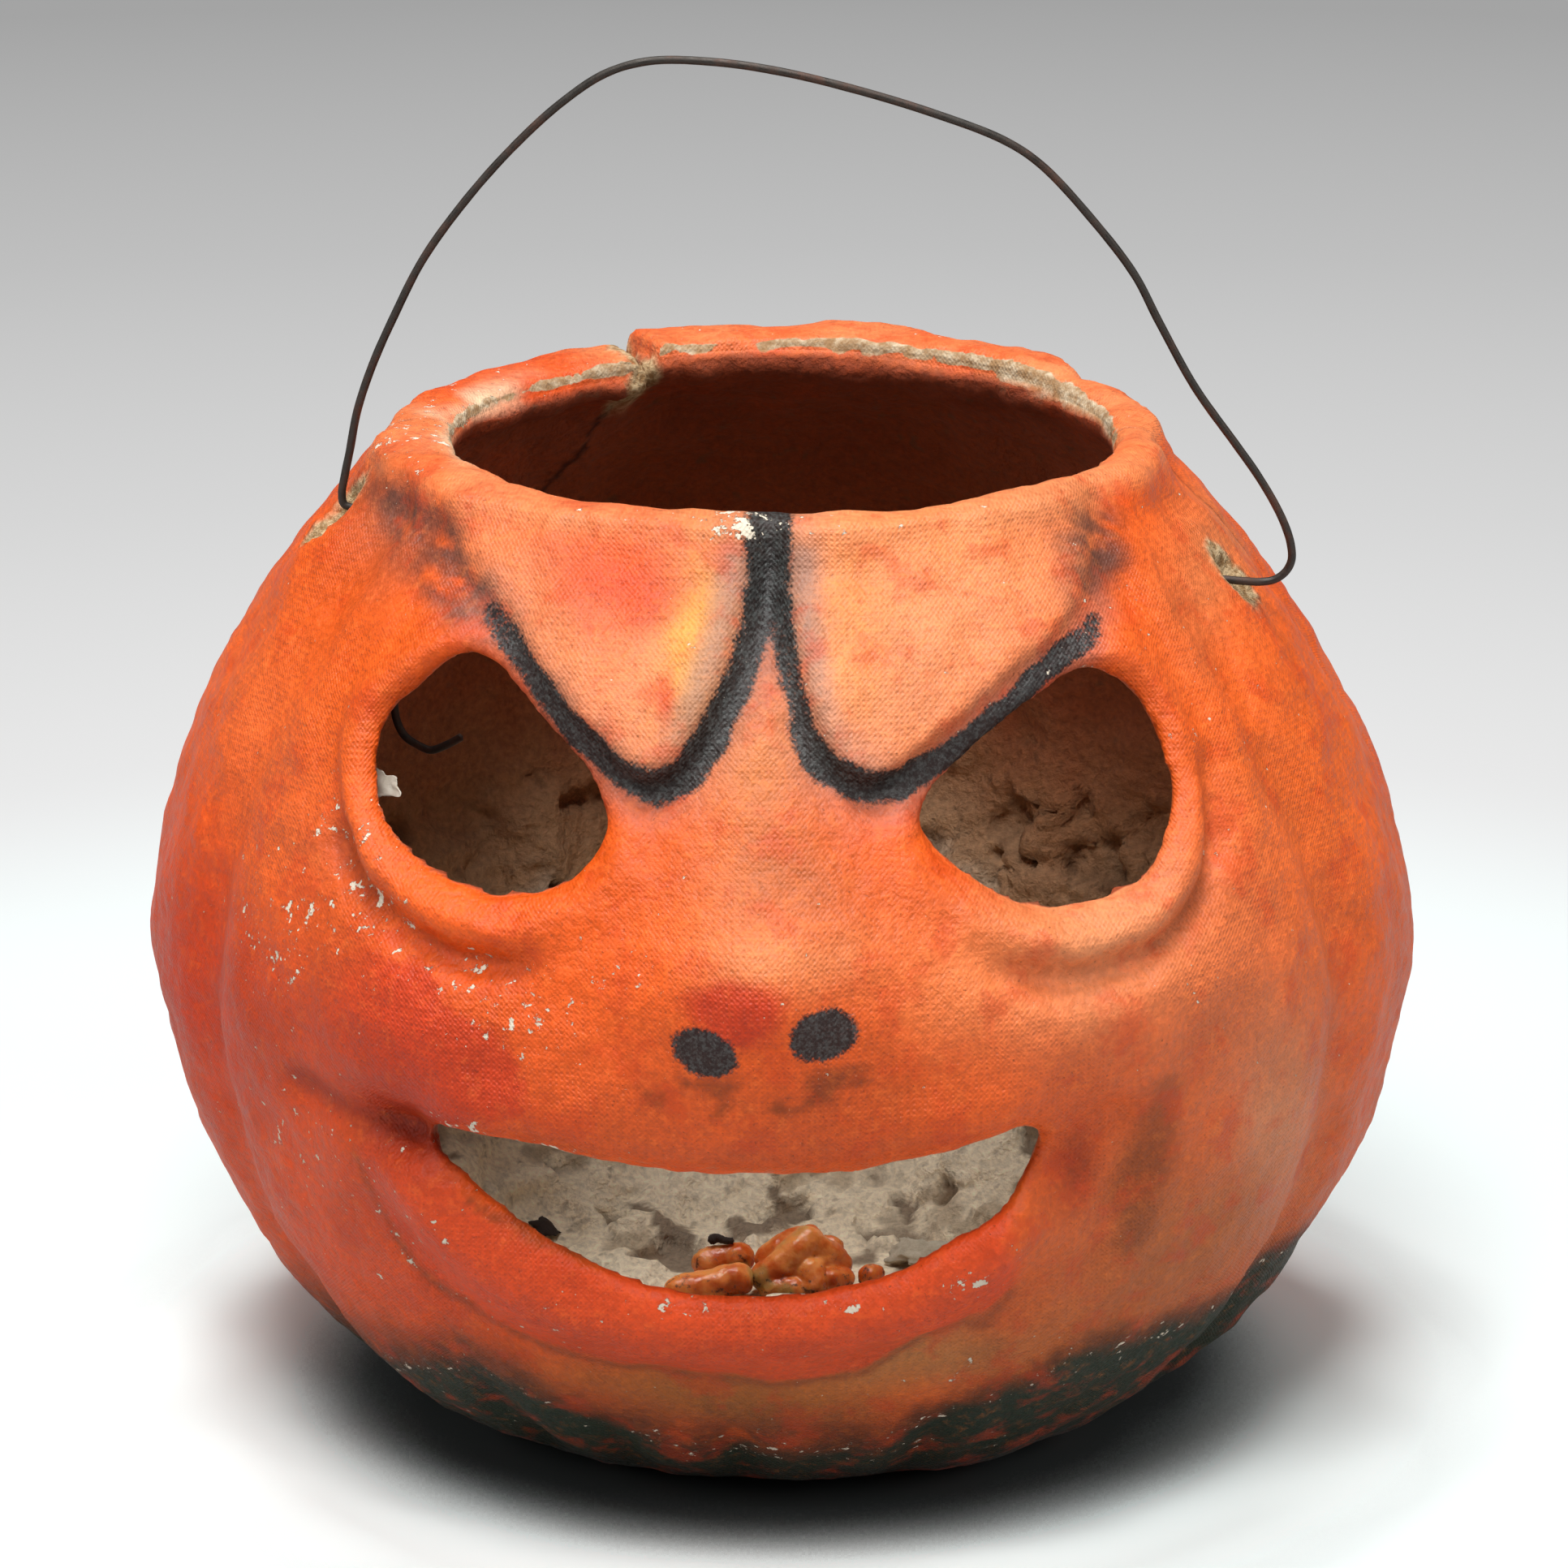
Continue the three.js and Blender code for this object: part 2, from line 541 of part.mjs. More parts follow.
// A thin plate on three or more corners, thickened towards the point given
function plateSolid(corners, thickness, towards) {
  const [near, next, last] = [corners[0], corners[1], corners[corners.length - 1]];
  const normal = next.clone().sub(near).cross(last.clone().sub(near)).normalize();
  if (normal.dot(towards.clone().sub(corners[0])) < 0) normal.negate();
  const far = corners.map((p) => p.clone().addScaledVector(normal, thickness));
  const count = corners.length;
  const index = [];
  for (let i = 1; i < count - 1; i++) index.push(0, i, i + 1, count, count + i + 1, count + i);
  for (let i = 0; i < count; i++) {
    const j = (i + 1) % count;
    index.push(i, count + i, j, j, count + i, count + j);
  }
  const geometry = new THREE.BufferGeometry().setFromPoints([...corners, ...far]);
  geometry.setIndex(index);
  const solid = solidOf(geometry);
  return solid.volume() > 0 ? solid : solidOf(geometry.setIndex(index.toReversed()));
}

// Shell halves: eyes, mouth, bail holes and crack are cut before the shell is parted at the seam

let shell = shellSolid();
for (const [outline, count] of [[LEFT_EYE, 28], [RIGHT_EYE, 28], [MOUTH, 40]]) {
  shell = shell.subtract(openingSolid(outline, count));
}
for (const [hole, spot] of [[leftHole, LEFT_HOLE], [rightHole, RIGHT_HOLE]]) {
  shell = shell.subtract(tearSolid(hole, spot)).subtract(holeSolid(hole));
}
shell = shell.subtract(crackSolid());
addPart('face_half', shell.intersect(seamSide(true)), PULP_ORANGE, 0.55);
addPart('back_half', shell.intersect(seamSide(false)), PULP_BACK, 0.6);

// Seam strips: pasted paper that follows the inside of the wall across each side seam

// A point of the faceted inner wall, at a depth below the outer skin
function innerWallPoint(place, azimuth, depth) {
  const turned = THREE.MathUtils.euclideanModulo(azimuth - INNER[0], 360) + INNER[0];
  const after = INNER.findIndex((a) => a > turned);
  const a = INNER.at(after < 0 ? -1 : after - 1);
  const b = after < 0 ? INNER[0] + 360 : INNER[after];
  const steps = place < 1 ? UNDER_STEPS : SHOULDER_STEPS;
  const row = 2 * Math.floor((place * steps) / 2) / steps;
  const nextRow = row + 2 / steps;
  const [u, v] = [(turned - a) / (b - a), (place - row) / (nextRow - row)];
  const low = wallPoint(row, a, depth).lerp(wallPoint(row, b, depth), u);
  const high = wallPoint(nextRow, a, depth).lerp(wallPoint(nextRow, b, depth), u);
  return low.lerp(high, v);
}

function stripSolid(groove) {
  const middle = INNER.indexOf(groove);
  const columns = [INNER[middle - 1], groove, INNER[middle + 1]];
  const rows = [];
  for (let i = 0; i <= UNDER_STEPS; i += 2) rows.push(i / UNDER_STEPS);
  for (let i = 2; i < SHOULDER_STEPS; i += 2) rows.push(1 + i / SHOULDER_STEPS);
  const kept = rows.filter((place) => {
    const height = profileHeight(place);
    return height >= STRIP_BOTTOM && height <= STRIP_TOP;
  });
  const near = WALL + LIE_GAP;
  const loops = kept.map((place) => [
    ...columns.map((azimuth) => wallPoint(place, azimuth, near)),
    ...columns.toReversed().map((azimuth) => wallPoint(place, azimuth, near + STRIP_THICKNESS)),
  ]);
  const around = 2 * columns.length;
  const index = [];
  for (let r = 1; r < loops.length; r++) {
    for (let i = 0; i < around; i++) {
      const [a, b] = [(r - 1) * around + i, (r - 1) * around + ((i + 1) % around)];
      index.push(a, b, b + around, a, b + around, a + around);
    }
  }
  const last = (loops.length - 1) * around;
  for (let i = 0; i < columns.length - 1; i++) {
    const j = around - 1 - i;
    index.push(i, j, i + 1, i + 1, j, j - 1);
    index.push(last + i, last + i + 1, last + j, last + i + 1, last + j - 1, last + j);
  }
  const geometry = new THREE.BufferGeometry().setFromPoints(loops.flat());
  geometry.setIndex(index);
  return solidOf(geometry);
}

addPart('seam_strip_right', stripSolid(GROOVES[1]), PULP_RAW, 0.9);
addPart('seam_strip_left', stripSolid(GROOVES[GROOVES.length - 2]), PULP_RAW, 0.9);

// Bail: one bent wire, from the hook of its long inner leg to the end of the short one

function bailSolid() {
  const at = (hole) => ([along, height]) => (
    hole.clone().addScaledVector(hinge, along).addScaledVector(bailUp, height));
  const points = [
    ...[...LEFT_LEG, ...BOW_FROM_LEFT].map(at(leftHole)),
    ...[...BOW_FROM_RIGHT, ...RIGHT_LEG].map(at(rightHole)),
  ];
  const route = new THREE.CatmullRomCurve3(points, false, 'centripetal');
  route.arcLengthDivisions = 1000;
  const section = new THREE.Shape().absarc(0, 0, WIRE_RADIUS, 0, 2 * Math.PI);
  const settings = { steps: WIRE_STEPS, curveSegments: 3, extrudePath: route };
  return solidOf(new THREE.ExtrudeGeometry(section, settings));
}

addPart('bail_wire', bailSolid(), WIRE_BROWN, 0.5, 0.7);

// Wax: runs that set as they flowed, and the mound that they came from

function runSolid({ from, to, radius }) {
  const length = Math.hypot(to[0] - from[0], to[1] - from[1]);
  const outline = [];
  const turns = 4;
  for (let i = 0; i <= turns; i++) {
    const angle = (i / turns) * (Math.PI / 2);
    outline.push([radius * Math.sin(angle), radius * (1 - Math.cos(angle))]);
  }
  const waist = [radius * 0.88, length * 0.5];
  const profile = [...outline, waist, ...outline.toReversed().map(([r, y]) => [r, length - y])];
  const geometry = new THREE.LatheGeometry(profile.map(([r, y]) => new THREE.Vector2(r, y)), 12);
  geometry.rotateZ(-Math.PI / 2);
  geometry.rotateZ(Math.atan2(to[1] - from[1], to[0] - from[0]));
  geometry.translate(from[0], from[1], WALL + LIE_GAP + radius);
  return solidOf(geometry);
}

function lumpSolid(x, y, wide, deep, tall) {
  const geometry = new THREE.SphereGeometry(1, 16, 10);
  geometry.rotateX(Math.PI / 2);
  geometry.scale(wide, deep, tall);
  geometry.translate(x, y, WALL + LIE_GAP);
  return solidOf(geometry).intersect(aboveFloor());
}

function aboveFloor() {
  const size = 4 * BASE_RADIUS;
  const geometry = new THREE.BoxGeometry(size, size, size);
  geometry.translate(0, 0, WALL + LIE_GAP + size / 2);
  return solidOf(geometry);
}

const { x: moundX, y: moundY, wide, deep, tall } = WAX_MOUND;
addPart('wax_mound', lumpSolid(moundX, moundY, wide, deep, tall), WAX_AMBER, 0.35);
addPart('wax_run_front', runSolid(FRONT_DRIP), WAX_AMBER, 0.35);
addPart('wax_run_back', runSolid(BACK_DRIP), WAX_AMBER, 0.35);
addPart('wax_run_rear', runSolid(REAR_DRIP), WAX_AMBER, 0.35);
const crumb = WAX_CRUMB;
const crumbSolid = lumpSolid(crumb.x, crumb.y, crumb.radius, crumb.radius, crumb.tall);
addPart('wax_crumb', crumbSolid, WAX_AMBER, 0.4);

// Wick: a burnt end lying on the back run

function wickSolid() {
  const geometry = new THREE.CylinderGeometry(WICK_RADIUS, WICK_TIP_RADIUS, WICK_LENGTH, 8);
  geometry.rotateZ(Math.PI / 2);
  const [x, y] = BACK_DRIP.from.map((start, i) => (start + BACK_DRIP.to[i]) / 2);
  geometry.translate(x, y, WALL + 2 * (LIE_GAP + BACK_DRIP.radius) + WICK_RADIUS);
  return solidOf(geometry);
}

addPart('wick_end', wickSolid(), CHARRED, 0.9);

// Scraps of pulp and paper

const hollowMiddle = new THREE.Vector3(0, 0, BELLY_HEIGHT);
const flakeCorners = FLAKE.map(([x, y, lift]) => new THREE.Vector3(x, y, WALL + LIE_GAP + lift));
addPart('floor_flake', plateSolid(flakeCorners, FLAKE_THICKNESS, hollowMiddle), PULP_RAW, 0.95);

function charCorners() {
  const { place, azimuth, wide: across, tall: up } = CHAR_SPOT;
  const depth = WALL + LIE_GAP;
  return [[-1, -1], [1, -1], [0.7, 1], [-0.8, 0.8]].map(([side, level]) => (
    innerWallPoint(place + level * up, azimuth + side * across, depth)));
}

addPart('charred_scrap', plateSolid(charCorners(), CHAR_SPOT.thickness, hollowMiddle), CHARRED, 0.9);

function eyeScrapCorners() {
  const depth = WALL + LIE_GAP;
  const { azimuth, low, high, tip } = EYE_SCRAP;
  return [[low, azimuth], [tip[1], tip[0]], [high, azimuth]].map(([place, turn]) => (
    innerWallPoint(place, turn, depth)));
}

const eyeScrapSolid = plateSolid(eyeScrapCorners(), EYE_SCRAP.thickness, hollowMiddle);
addPart('eye_paper_scrap', eyeScrapSolid, PAPER_WHITE, 0.9);

export default group;
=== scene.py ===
import math

import bmesh
import bpy
import numpy as np
from mathutils import Matrix, Vector, noise


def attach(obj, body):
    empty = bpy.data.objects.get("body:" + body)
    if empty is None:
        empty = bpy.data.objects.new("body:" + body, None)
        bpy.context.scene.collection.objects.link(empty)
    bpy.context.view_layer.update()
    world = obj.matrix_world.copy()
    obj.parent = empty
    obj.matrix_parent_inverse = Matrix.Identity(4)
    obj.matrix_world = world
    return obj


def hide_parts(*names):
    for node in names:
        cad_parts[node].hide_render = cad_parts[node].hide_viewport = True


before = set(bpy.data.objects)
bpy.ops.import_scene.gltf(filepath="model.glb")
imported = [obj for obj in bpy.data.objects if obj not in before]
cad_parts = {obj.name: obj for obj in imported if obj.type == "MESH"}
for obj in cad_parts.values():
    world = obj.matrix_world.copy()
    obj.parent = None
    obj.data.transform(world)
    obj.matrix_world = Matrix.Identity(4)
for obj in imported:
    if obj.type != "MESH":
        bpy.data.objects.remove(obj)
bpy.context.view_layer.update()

scene = bpy.context.scene
MM = 0.001


# Camera: it stands where the photograph was taken from, a little to the right of the face and above it,
# with a long lens. Its middle is a little above the lantern's own middle, as in the photograph.
PHOTO_SIZE = 1932
SENSOR_WIDTH = 36
FOCAL_PIXELS = 8147.4
AIM_POINT = Vector((0, 0, 72 * MM))
AIM_PIXEL = (964, 1130)
CAMERA_DISTANCE = 1.0
CAMERA_AZIMUTH = math.radians(2)
CAMERA_ELEVATION = math.radians(18.5)

level = math.cos(CAMERA_ELEVATION)
backward = Vector((math.sin(CAMERA_AZIMUTH) * level, -math.cos(CAMERA_AZIMUTH) * level,
                   math.sin(CAMERA_ELEVATION)))
rightward = Vector((math.cos(CAMERA_AZIMUTH), math.sin(CAMERA_AZIMUTH), 0))
upward = backward.cross(rightward)
middle = PHOTO_SIZE / 2
look = (-FOCAL_PIXELS * backward + (middle - AIM_PIXEL[0]) * rightward
        + (AIM_PIXEL[1] - middle) * upward)
camera_data = bpy.data.cameras.new("camera")
camera_data.sensor_width = SENSOR_WIDTH
camera_data.lens = FOCAL_PIXELS / PHOTO_SIZE * SENSOR_WIDTH
camera_data.clip_start = 0.01
camera_data.clip_end = 30
camera = bpy.data.objects.new("camera", camera_data)
camera.location = AIM_POINT + CAMERA_DISTANCE * backward
camera.rotation_euler = look.to_track_quat("-Z", "Y").to_euler()
scene.collection.objects.link(camera)
scene.camera = camera
scene.view_settings.view_transform = "Standard"


# Light: a wide soft box hangs overhead and a little to the front, a weaker one stands beside the camera,
# and the pale room fills the rest. Together they show a colour about as it is written.
def linear(colour):
    """A hex colour such as #d9541e as linear red, green, blue and a full alpha."""
    parts = [int(colour[i:i + 2], 16) / 255 for i in (1, 3, 5)]
    return [(c / 12.92 if c <= 0.04045 else ((c + 0.055) / 1.055) ** 2.4) for c in parts] + [1]


def add(tree, kind, values=(), out=0, **settings):
    """A new node with its settings, and its inputs, by name or in order, set or linked. Gives one output."""
    made = tree.nodes.new(f"ShaderNode{kind}")
    for name, value in settings.items():
        setattr(made, name, value)
    for socket, value in values.items() if isinstance(values, dict) else enumerate(values):
        if isinstance(value, bpy.types.NodeSocket):
            tree.links.new(value, made.inputs[socket])
        else:
            made.inputs[socket].default_value = value
    return made.outputs[out] if made.outputs else None


SOFT_BOXES = [
    ("overhead", (-0.05, 0.06, 1.5), (0.5, 0.5), 16.5),
    ("upper_front", (-0.1, -0.78, 1.3), (0.6, 0.4), 12),
    ("left_fill", (-1.3, -0.5, 0.75), (0.5, 0.7), 3.3),
    ("right_fill", (1.3, -0.5, 0.75), (0.5, 0.7), 4.2),
]
for name, place, size, watts in SOFT_BOXES:
    lamp = bpy.data.lights.new(name, "AREA")
    lamp.shape = "RECTANGLE"
    lamp.size, lamp.size_y = size
    lamp.energy = watts
    holder = bpy.data.objects.new(name, lamp)
    holder.location = place
    holder.rotation_euler = (AIM_POINT - Vector(place)).to_track_quat("-Z", "Y").to_euler()
    scene.collection.objects.link(holder)

ROOM_STRENGTH = 0.12
ROOM_GREY = linear("#a4a4a4")
world = bpy.data.worlds.new("room")
scene.world = world
world.use_nodes = True
sky = world.node_tree
sky.nodes.clear()
ray = add(sky, "LightPath").node.outputs
seen = add(sky, "Math", [ray["Is Camera Ray"], ray["Is Transmission Ray"]], operation="MAXIMUM")
room = add(sky, "Background", {"Color": (1, 1, 1, 1), "Strength": ROOM_STRENGTH})
backdrop = add(sky, "Background", {"Color": ROOM_GREY, "Strength": 1})
both = add(sky, "MixShader", [seen, room, backdrop])
add(sky, "OutputWorld", {"Surface": both})


# Floor: smooth white paper, plain white near the lantern and greyer with distance. The camera sees a soft
# shadow that darkens towards the lantern's foot, and the lantern gets only the light of a grey floor. The
# shadow's two curves over the openness of the floor are given as from, to, and the values there.
FLOOR_RADIUS = 6.0
FLOOR_SEEN = (0.96, 1.05, 1.04)
SHADOW_WIDTH = 0.04
SHADOW_SAMPLES = 16
CONTACT_SHADOW = (0.28, 0.56, 0.08, 1.3)
OPEN_FLOOR = (0.62, 1.0, 0.0, 0.5)
FLOOR_BOUNCE = (0.54, 0.54, 0.54, 1)
FLOOR_FADE = [(0.0, "#ffffff"), (0.15, "#ffffff"), (0.335, "#e9e9e9"), (0.527, "#d6d6d6"), (0.781, "#bfbfbf"),
              (1.132, "#a4a4a4")]
SHADOW_REACH = (0.19, 0.34)
SMOOTH = {"interpolation_type": "SMOOTHSTEP"}
RGBA = {"out": 2, "data_type": "RGBA"}


def new_material(name, **grains):
    """An empty material, its node tree, its Object coordinates and its noises by name, each of them given as
    features per millimetre, detail and roughness."""
    material = bpy.data.materials.new(name)
    material.use_nodes = True
    tree = material.node_tree
    tree.nodes.clear()
    place = add(tree, "TexCoord", out="Object")
    made = {}
    for grain_name, (per_mm, detail, roughness) in grains.items():
        values = {"Vector": place, "Scale": per_mm * 1000, "Detail": detail, "Roughness": roughness}
        made[grain_name] = add(tree, "TexNoise", values, "Fac")
    return material, tree, place, made


bm = bmesh.new()
bmesh.ops.create_circle(bm, cap_ends=True, segments=96, radius=FLOOR_RADIUS)
floor_mesh = bpy.data.meshes.new("floor")
bm.to_mesh(floor_mesh)
bm.free()
floor = bpy.data.objects.new("floor", floor_mesh)
scene.collection.objects.link(floor)
floor_paper, tree, place, _ = new_material("floor_paper")
away = add(tree, "VectorMath", [place], "Value", operation="LENGTH")
reach = FLOOR_FADE[-1][0]
share = add(tree, "Math", [away, reach], operation="DIVIDE")
fade = add(tree, "ValToRGB", [share])
stops = fade.node.color_ramp.elements
while len(stops) < len(FLOOR_FADE):
    stops.new(1)
for stop, (distance, colour) in zip(stops, FLOOR_FADE):
    stop.position = distance / reach
    stop.color = linear(colour)
ray = add(tree, "LightPath").node.outputs
viewed = ray["Is Camera Ray"]
seen = add(tree, "Math", [viewed, ray["Is Glossy Ray"]], operation="MAXIMUM")
seen = add(tree, "Math", [seen, ray["Is Transmission Ray"]], operation="MAXIMUM")
far = add(tree, "MapRange", [away, *SHADOW_REACH], **SMOOTH)
glowing = add(tree, "Math", [far, seen], operation="MULTIPLY")
near = add(tree, "AmbientOcclusion", {"Distance": SHADOW_WIDTH}, "AO", samples=SHADOW_SAMPLES)
rise = add(tree, "MapRange", [near, *CONTACT_SHADOW], **SMOOTH)
fall = add(tree, "MapRange", [near, *OPEN_FLOOR], **SMOOTH)
level = add(tree, "Math", [rise, fall], operation="SUBTRACT")
shaded = add(tree, "VectorMath", {0: FLOOR_SEEN, "Scale": level}, operation="SCALE")
matte = add(tree, "Mix", {0: viewed, 6: FLOOR_BOUNCE, 7: shaded}, **RGBA)
matte = add(tree, "BsdfDiffuse", {"Color": matte})
glow = add(tree, "Emission", {"Color": fade, "Strength": 1})
both = add(tree, "MixShader", [glowing, matte, glow])
add(tree, "OutputMaterial", {"Surface": both})
floor_mesh.materials.append(floor_paper)


# Shell halves: paper pulp pressed over a form into a pumpkin with a face, each half about 4 mm thick.
# The halves are glued in a plane just behind the middle, and the rim is turned inwards into a ledge.
# Coarse cloth lay in the press, and its weave is still in the surface.
BODY_HEIGHT = 148
BELLY_RADIUS = 94.8
BELLY_HEIGHT = 74
BASE_RADIUS = 46
CORNER_RADIUS = 58
CORNER_DROP = 2
FRONT_FLAT = 6
FRONT_TUCK = 2.5
WALL = 4
UNDER_FULLNESS = 1.7
SHOULDER_FULLNESS = 1.82
LEAN_BELLY = 0.3
LEAN_SHOULDER = -1.8
LEAN_RISE = 48
RIM_HALF_WIDTH = 49
RIM_HALF_DEPTH = 46
RIM_THICKNESS = 4.5
RIM_EDGE = 1.2
RIM_BACK_RISE = 2.9
CRACK_AZIMUTH = -152
CRACK_STEP = 2.2
CRACK_FADE = 70
SEAM_Y = 3

# A bead and a groove run round the corner of the rim, each with its height, z and half width. The bulge
# beside the left hole has its height, azimuth, z and half width. Then come the ribs' grooves, by azimuth.
RIM_BEAD = (1.3, 146.3, 2.0)
RIM_GROOVE = (1.2, 140.8, 2.2)
LEFT_BULGE = (2.4, -74, 137, 8)
GROOVES = [62, 92, 122, 152, 181, 210, 239, 268, 298]
GROOVE_DEPTH = 3.2
GROOVE_WIDTH = 6
CHIN_GROOVES = [-34, -20, -4, 20]
CHIN_GROOVE_DEPTH = 2.6
CHIN_GROOVE_WIDTH = 3.6

# Outlines seen square on, in x and z. A mound has its middle, half sizes and height. A fold has its half
# width, its height, which is below 0 for a groove, and its line.
LEFT_EYE = [(-40.6, 129.3), (-29.7, 122.1), (-23.7, 116.4), (-21.4, 111.5), (-24.5, 105.1), (-33.6, 101.1),
            (-42, 101.2), (-51.6, 105.5), (-55.2, 112), (-53.7, 119.9), (-47.8, 125.5)]
RIGHT_EYE = [(43.8, 127.4), (49.5, 125), (55.2, 116.7), (56.5, 108), (53, 101.4), (42, 99.4), (32.1, 101.9),
             (23.5, 108), (21.4, 113.2), (26.4, 117.6), (37.6, 125)]
MOUTH = [(-46.2, 66), (-43, 69), (-26.6, 68), (-12.9, 66.2), (0, 65.9), (14, 66.5), (27.4, 68.7),
         (38, 71), (38.2, 65), (33.7, 58.6), (25.3, 53.2), (15.1, 47.7), (-0.2, 45.4), (-13.3, 45.9),
         (-24.7, 50), (-33.8, 54.7), (-40.8, 59.9)]
LEFT_BROW = [(-3.5, 152), (-3.8, 140), (-6, 132), (-10, 123.5), (-13, 119.8), (-16, 119), (-19, 120.5),
             (-24.5, 125), (-31, 131.5), (-37, 137.5), (-42, 142), (-44, 152)]
RIGHT_BROW = [(3.5, 152), (4, 140), (6.3, 130), (8.5, 123.5), (11.5, 119.8), (15, 118.8), (18.5, 120.3),
              (25, 125), (32.5, 130), (39, 134), (42, 137), (43, 152)]
MOUNDS = [(0, 92, 21, 14, 8.5), (-3, 75, 34, 9, 3.5), (-50, 82, 16, 13, 4), (45, 87, 21, 11, 4),
          (-50, 66, 6, 5, -5), (43.5, 64.5, 6, 6, -4)]
FOLDS = [
    (6.5, 4.2, [(-49.5, 60), (-44.7, 52.5), (-36.6, 45.7), (-26.2, 40.8), (-13.5, 38.2), (1.2, 38.2),
                (16.7, 41.7), (27.3, 47), (34, 53.5)]),
    (3, -1.3, [(-54.1, 57.8), (-48.6, 46.6), (-39.5, 36.7), (-27.8, 31), (-13.8, 29.8), (2.7, 30.6),
               (18.2, 35.5), (29.3, 40.5), (36, 47)]),
    (4, 1.5, [(-40, 72), (-20, 70.5), (0, 69.5), (18, 71), (34, 74.5)]),
    (2.6, -2, [(-50, 66), (-57.4, 67.8), (-65, 68.5)]),
    (3.5, -2.2, [(50, 70), (52.5, 66), (51, 57.6), (47, 46)]),
    (9, 2.5, [(0, 126), (0, 100)]),
    (3, -1.5, [(0, 150), (0, 137)]),
    (3, -1.6, [(0, 137), (-7.4, 121.8), (-15.1, 115.8), (-22, 118.5)]),
    (3, -1.6, [(0, 137), (5.5, 122), (14, 115.8), (22, 118.5)]),
    (2.2, 0.9, [(-50, 146), (-55, 138), (-62, 126), (-67, 112)]),
    (2.4, -0.8, [(-54, 146), (-60, 136), (-68, 122)]),
    (2.0, 0.7, [(-44, 146), (-48, 137), (-55, 130)]),
    (2.4, -1.0, [(44, 147), (51, 134), (58, 122), (62, 108)]),
    (2.2, 0.9, [(49, 147), (56, 134), (64, 120), (69, 104)]),
    (2.0, -0.8, [(54, 147), (61, 134), (70, 118)]),
    (2.6, 0.8, [(-30, 147), (-28, 139), (-24, 133)]),
    (2.6, -0.6, [(24, 147), (27, 138), (26, 130)]),
]
BROW_PROUD = 4.6
BROW_EDGE = 3.2


def ease(value, start, stop):
    """Eases from 0 to 1 as the value goes from start to stop, up or down."""
    t = np.clip((value - start) / (stop - start), 0, 1)
    return t * t * (3 - 2 * t)


def swell(distance, width):
    """A smooth rise that is 1 at no distance and dies away over the width."""
    return np.exp(-(distance / width) ** 2)


def smooth_line(points, closed, count):
    """A centripetal curve through all the points, as a row of count points."""
    points = np.array(points, float)
    if closed:
        points = np.vstack([points[-1], points, points[:2]])
    else:
        points = np.vstack([2 * points[0] - points[1], points, 2 * points[-1] - points[-2]])
    spans = len(points) - 3
    line = []
    for t in np.linspace(0, spans, count, endpoint=not closed):
        i = min(int(t), spans - 1)
        knots = [0.0]
        for a, b in zip(points[i:i + 3], points[i + 1:i + 4]):
            knots.append(knots[-1] + math.sqrt(np.linalg.norm(b - a)))
        at = knots[1] + (t - i) * (knots[2] - knots[1])
        row = list(points[i:i + 4])
        for gap in (1, 2, 3):
            row = [row[j] + (row[j + 1] - row[j]) * _blend(at, knots, j, gap) for j in range(4 - gap)]
        line.append(row[0])
    return np.array(line)


def _blend(at, knots, j, gap):
    low, high = (j, j + 1) if gap == 1 else (j, j + 2) if gap == 2 else (1, 2)
    return (at - knots[low]) / (knots[high] - knots[low])


def distance_to(line, x, z):
    """Distance from an open line to points."""
    nearest = np.full(np.shape(x), np.inf)
    for (ax, az), (bx, bz) in zip(line[:-1], line[1:]):
        along = ((x - ax) * (bx - ax) + (z - az) * (bz - az)) / ((bx - ax) ** 2 + (bz - az) ** 2)
        t = np.clip(along, 0, 1)
        nearest = np.minimum(nearest, np.hypot(x - ax - t * (bx - ax), z - az - t * (bz - az)))
    return nearest


def inside(line, x, z):
    """Which points lie inside a closed outline."""
    odd = np.zeros(np.shape(x), bool)
    for (ax, az), (bx, bz) in zip(line, np.roll(line, 1, axis=0)):
        if az == bz:
            continue
        crosses = ((az > z) != (bz > z)) & (x < (bx - ax) * (z - az) / (bz - az) + ax)
        odd ^= crosses
    return odd


def outward(line, x, z):
    """Distance from a closed outline, negative inside it."""
    closed = np.vstack([line, line[:1]])
    return distance_to(closed, x, z) * np.where(inside(line, x, z), -1, 1)


EYES = [smooth_line(LEFT_EYE, True, 72), smooth_line(RIGHT_EYE, True, 72)]
BROWS = [smooth_line(LEFT_BROW, True, 60), smooth_line(RIGHT_BROW, True, 60)]
SMILE = smooth_line(MOUTH, True, 110)


def relief(x, z):
    """How far the face stands proud of the plain pumpkin, at points seen square on."""
    proud = np.zeros_like(x)
    for mx, mz, wide, tall, high in MOUNDS:
        proud += high * swell(np.hypot((x - mx) / wide, (z - mz) / tall), 1)
    for width, high, line in FOLDS:
        proud += high * swell(distance_to(smooth_line(line, False, 24), x, z), width)
    near_brow = np.zeros_like(x)
    for line in BROWS:
        depth = -outward(line, x, z)
        proud += BROW_PROUD * ease(depth, -BROW_EDGE, 0.8) * (1 - 0.6 * ease(z, 125, BODY_HEIGHT))
        near_brow = np.maximum(near_brow, ease(depth, -9, -1))
    for line in EYES:
        away = outward(line, x, z)
        outer_side = ease(np.abs(x), 25, 39)
        rim = (1.2 + 1.9 * outer_side) * swell(away - 2.7, 2.7)
        crease_at = 8.2 - 2.6 * ease(z, 101, 110)
        crease = (1 + 2 * ease(z, 109, 101)) * swell(away - crease_at, 2) * ease(z, 120, 110) * outer_side
        roll = 1.7 * ease(away, 1.8, 0)
        proud += (rim - crease) * (1 - near_brow) - roll
    proud -= 1.2 * ease(outward(SMILE, x, z), 2.0, 0)
    return proud


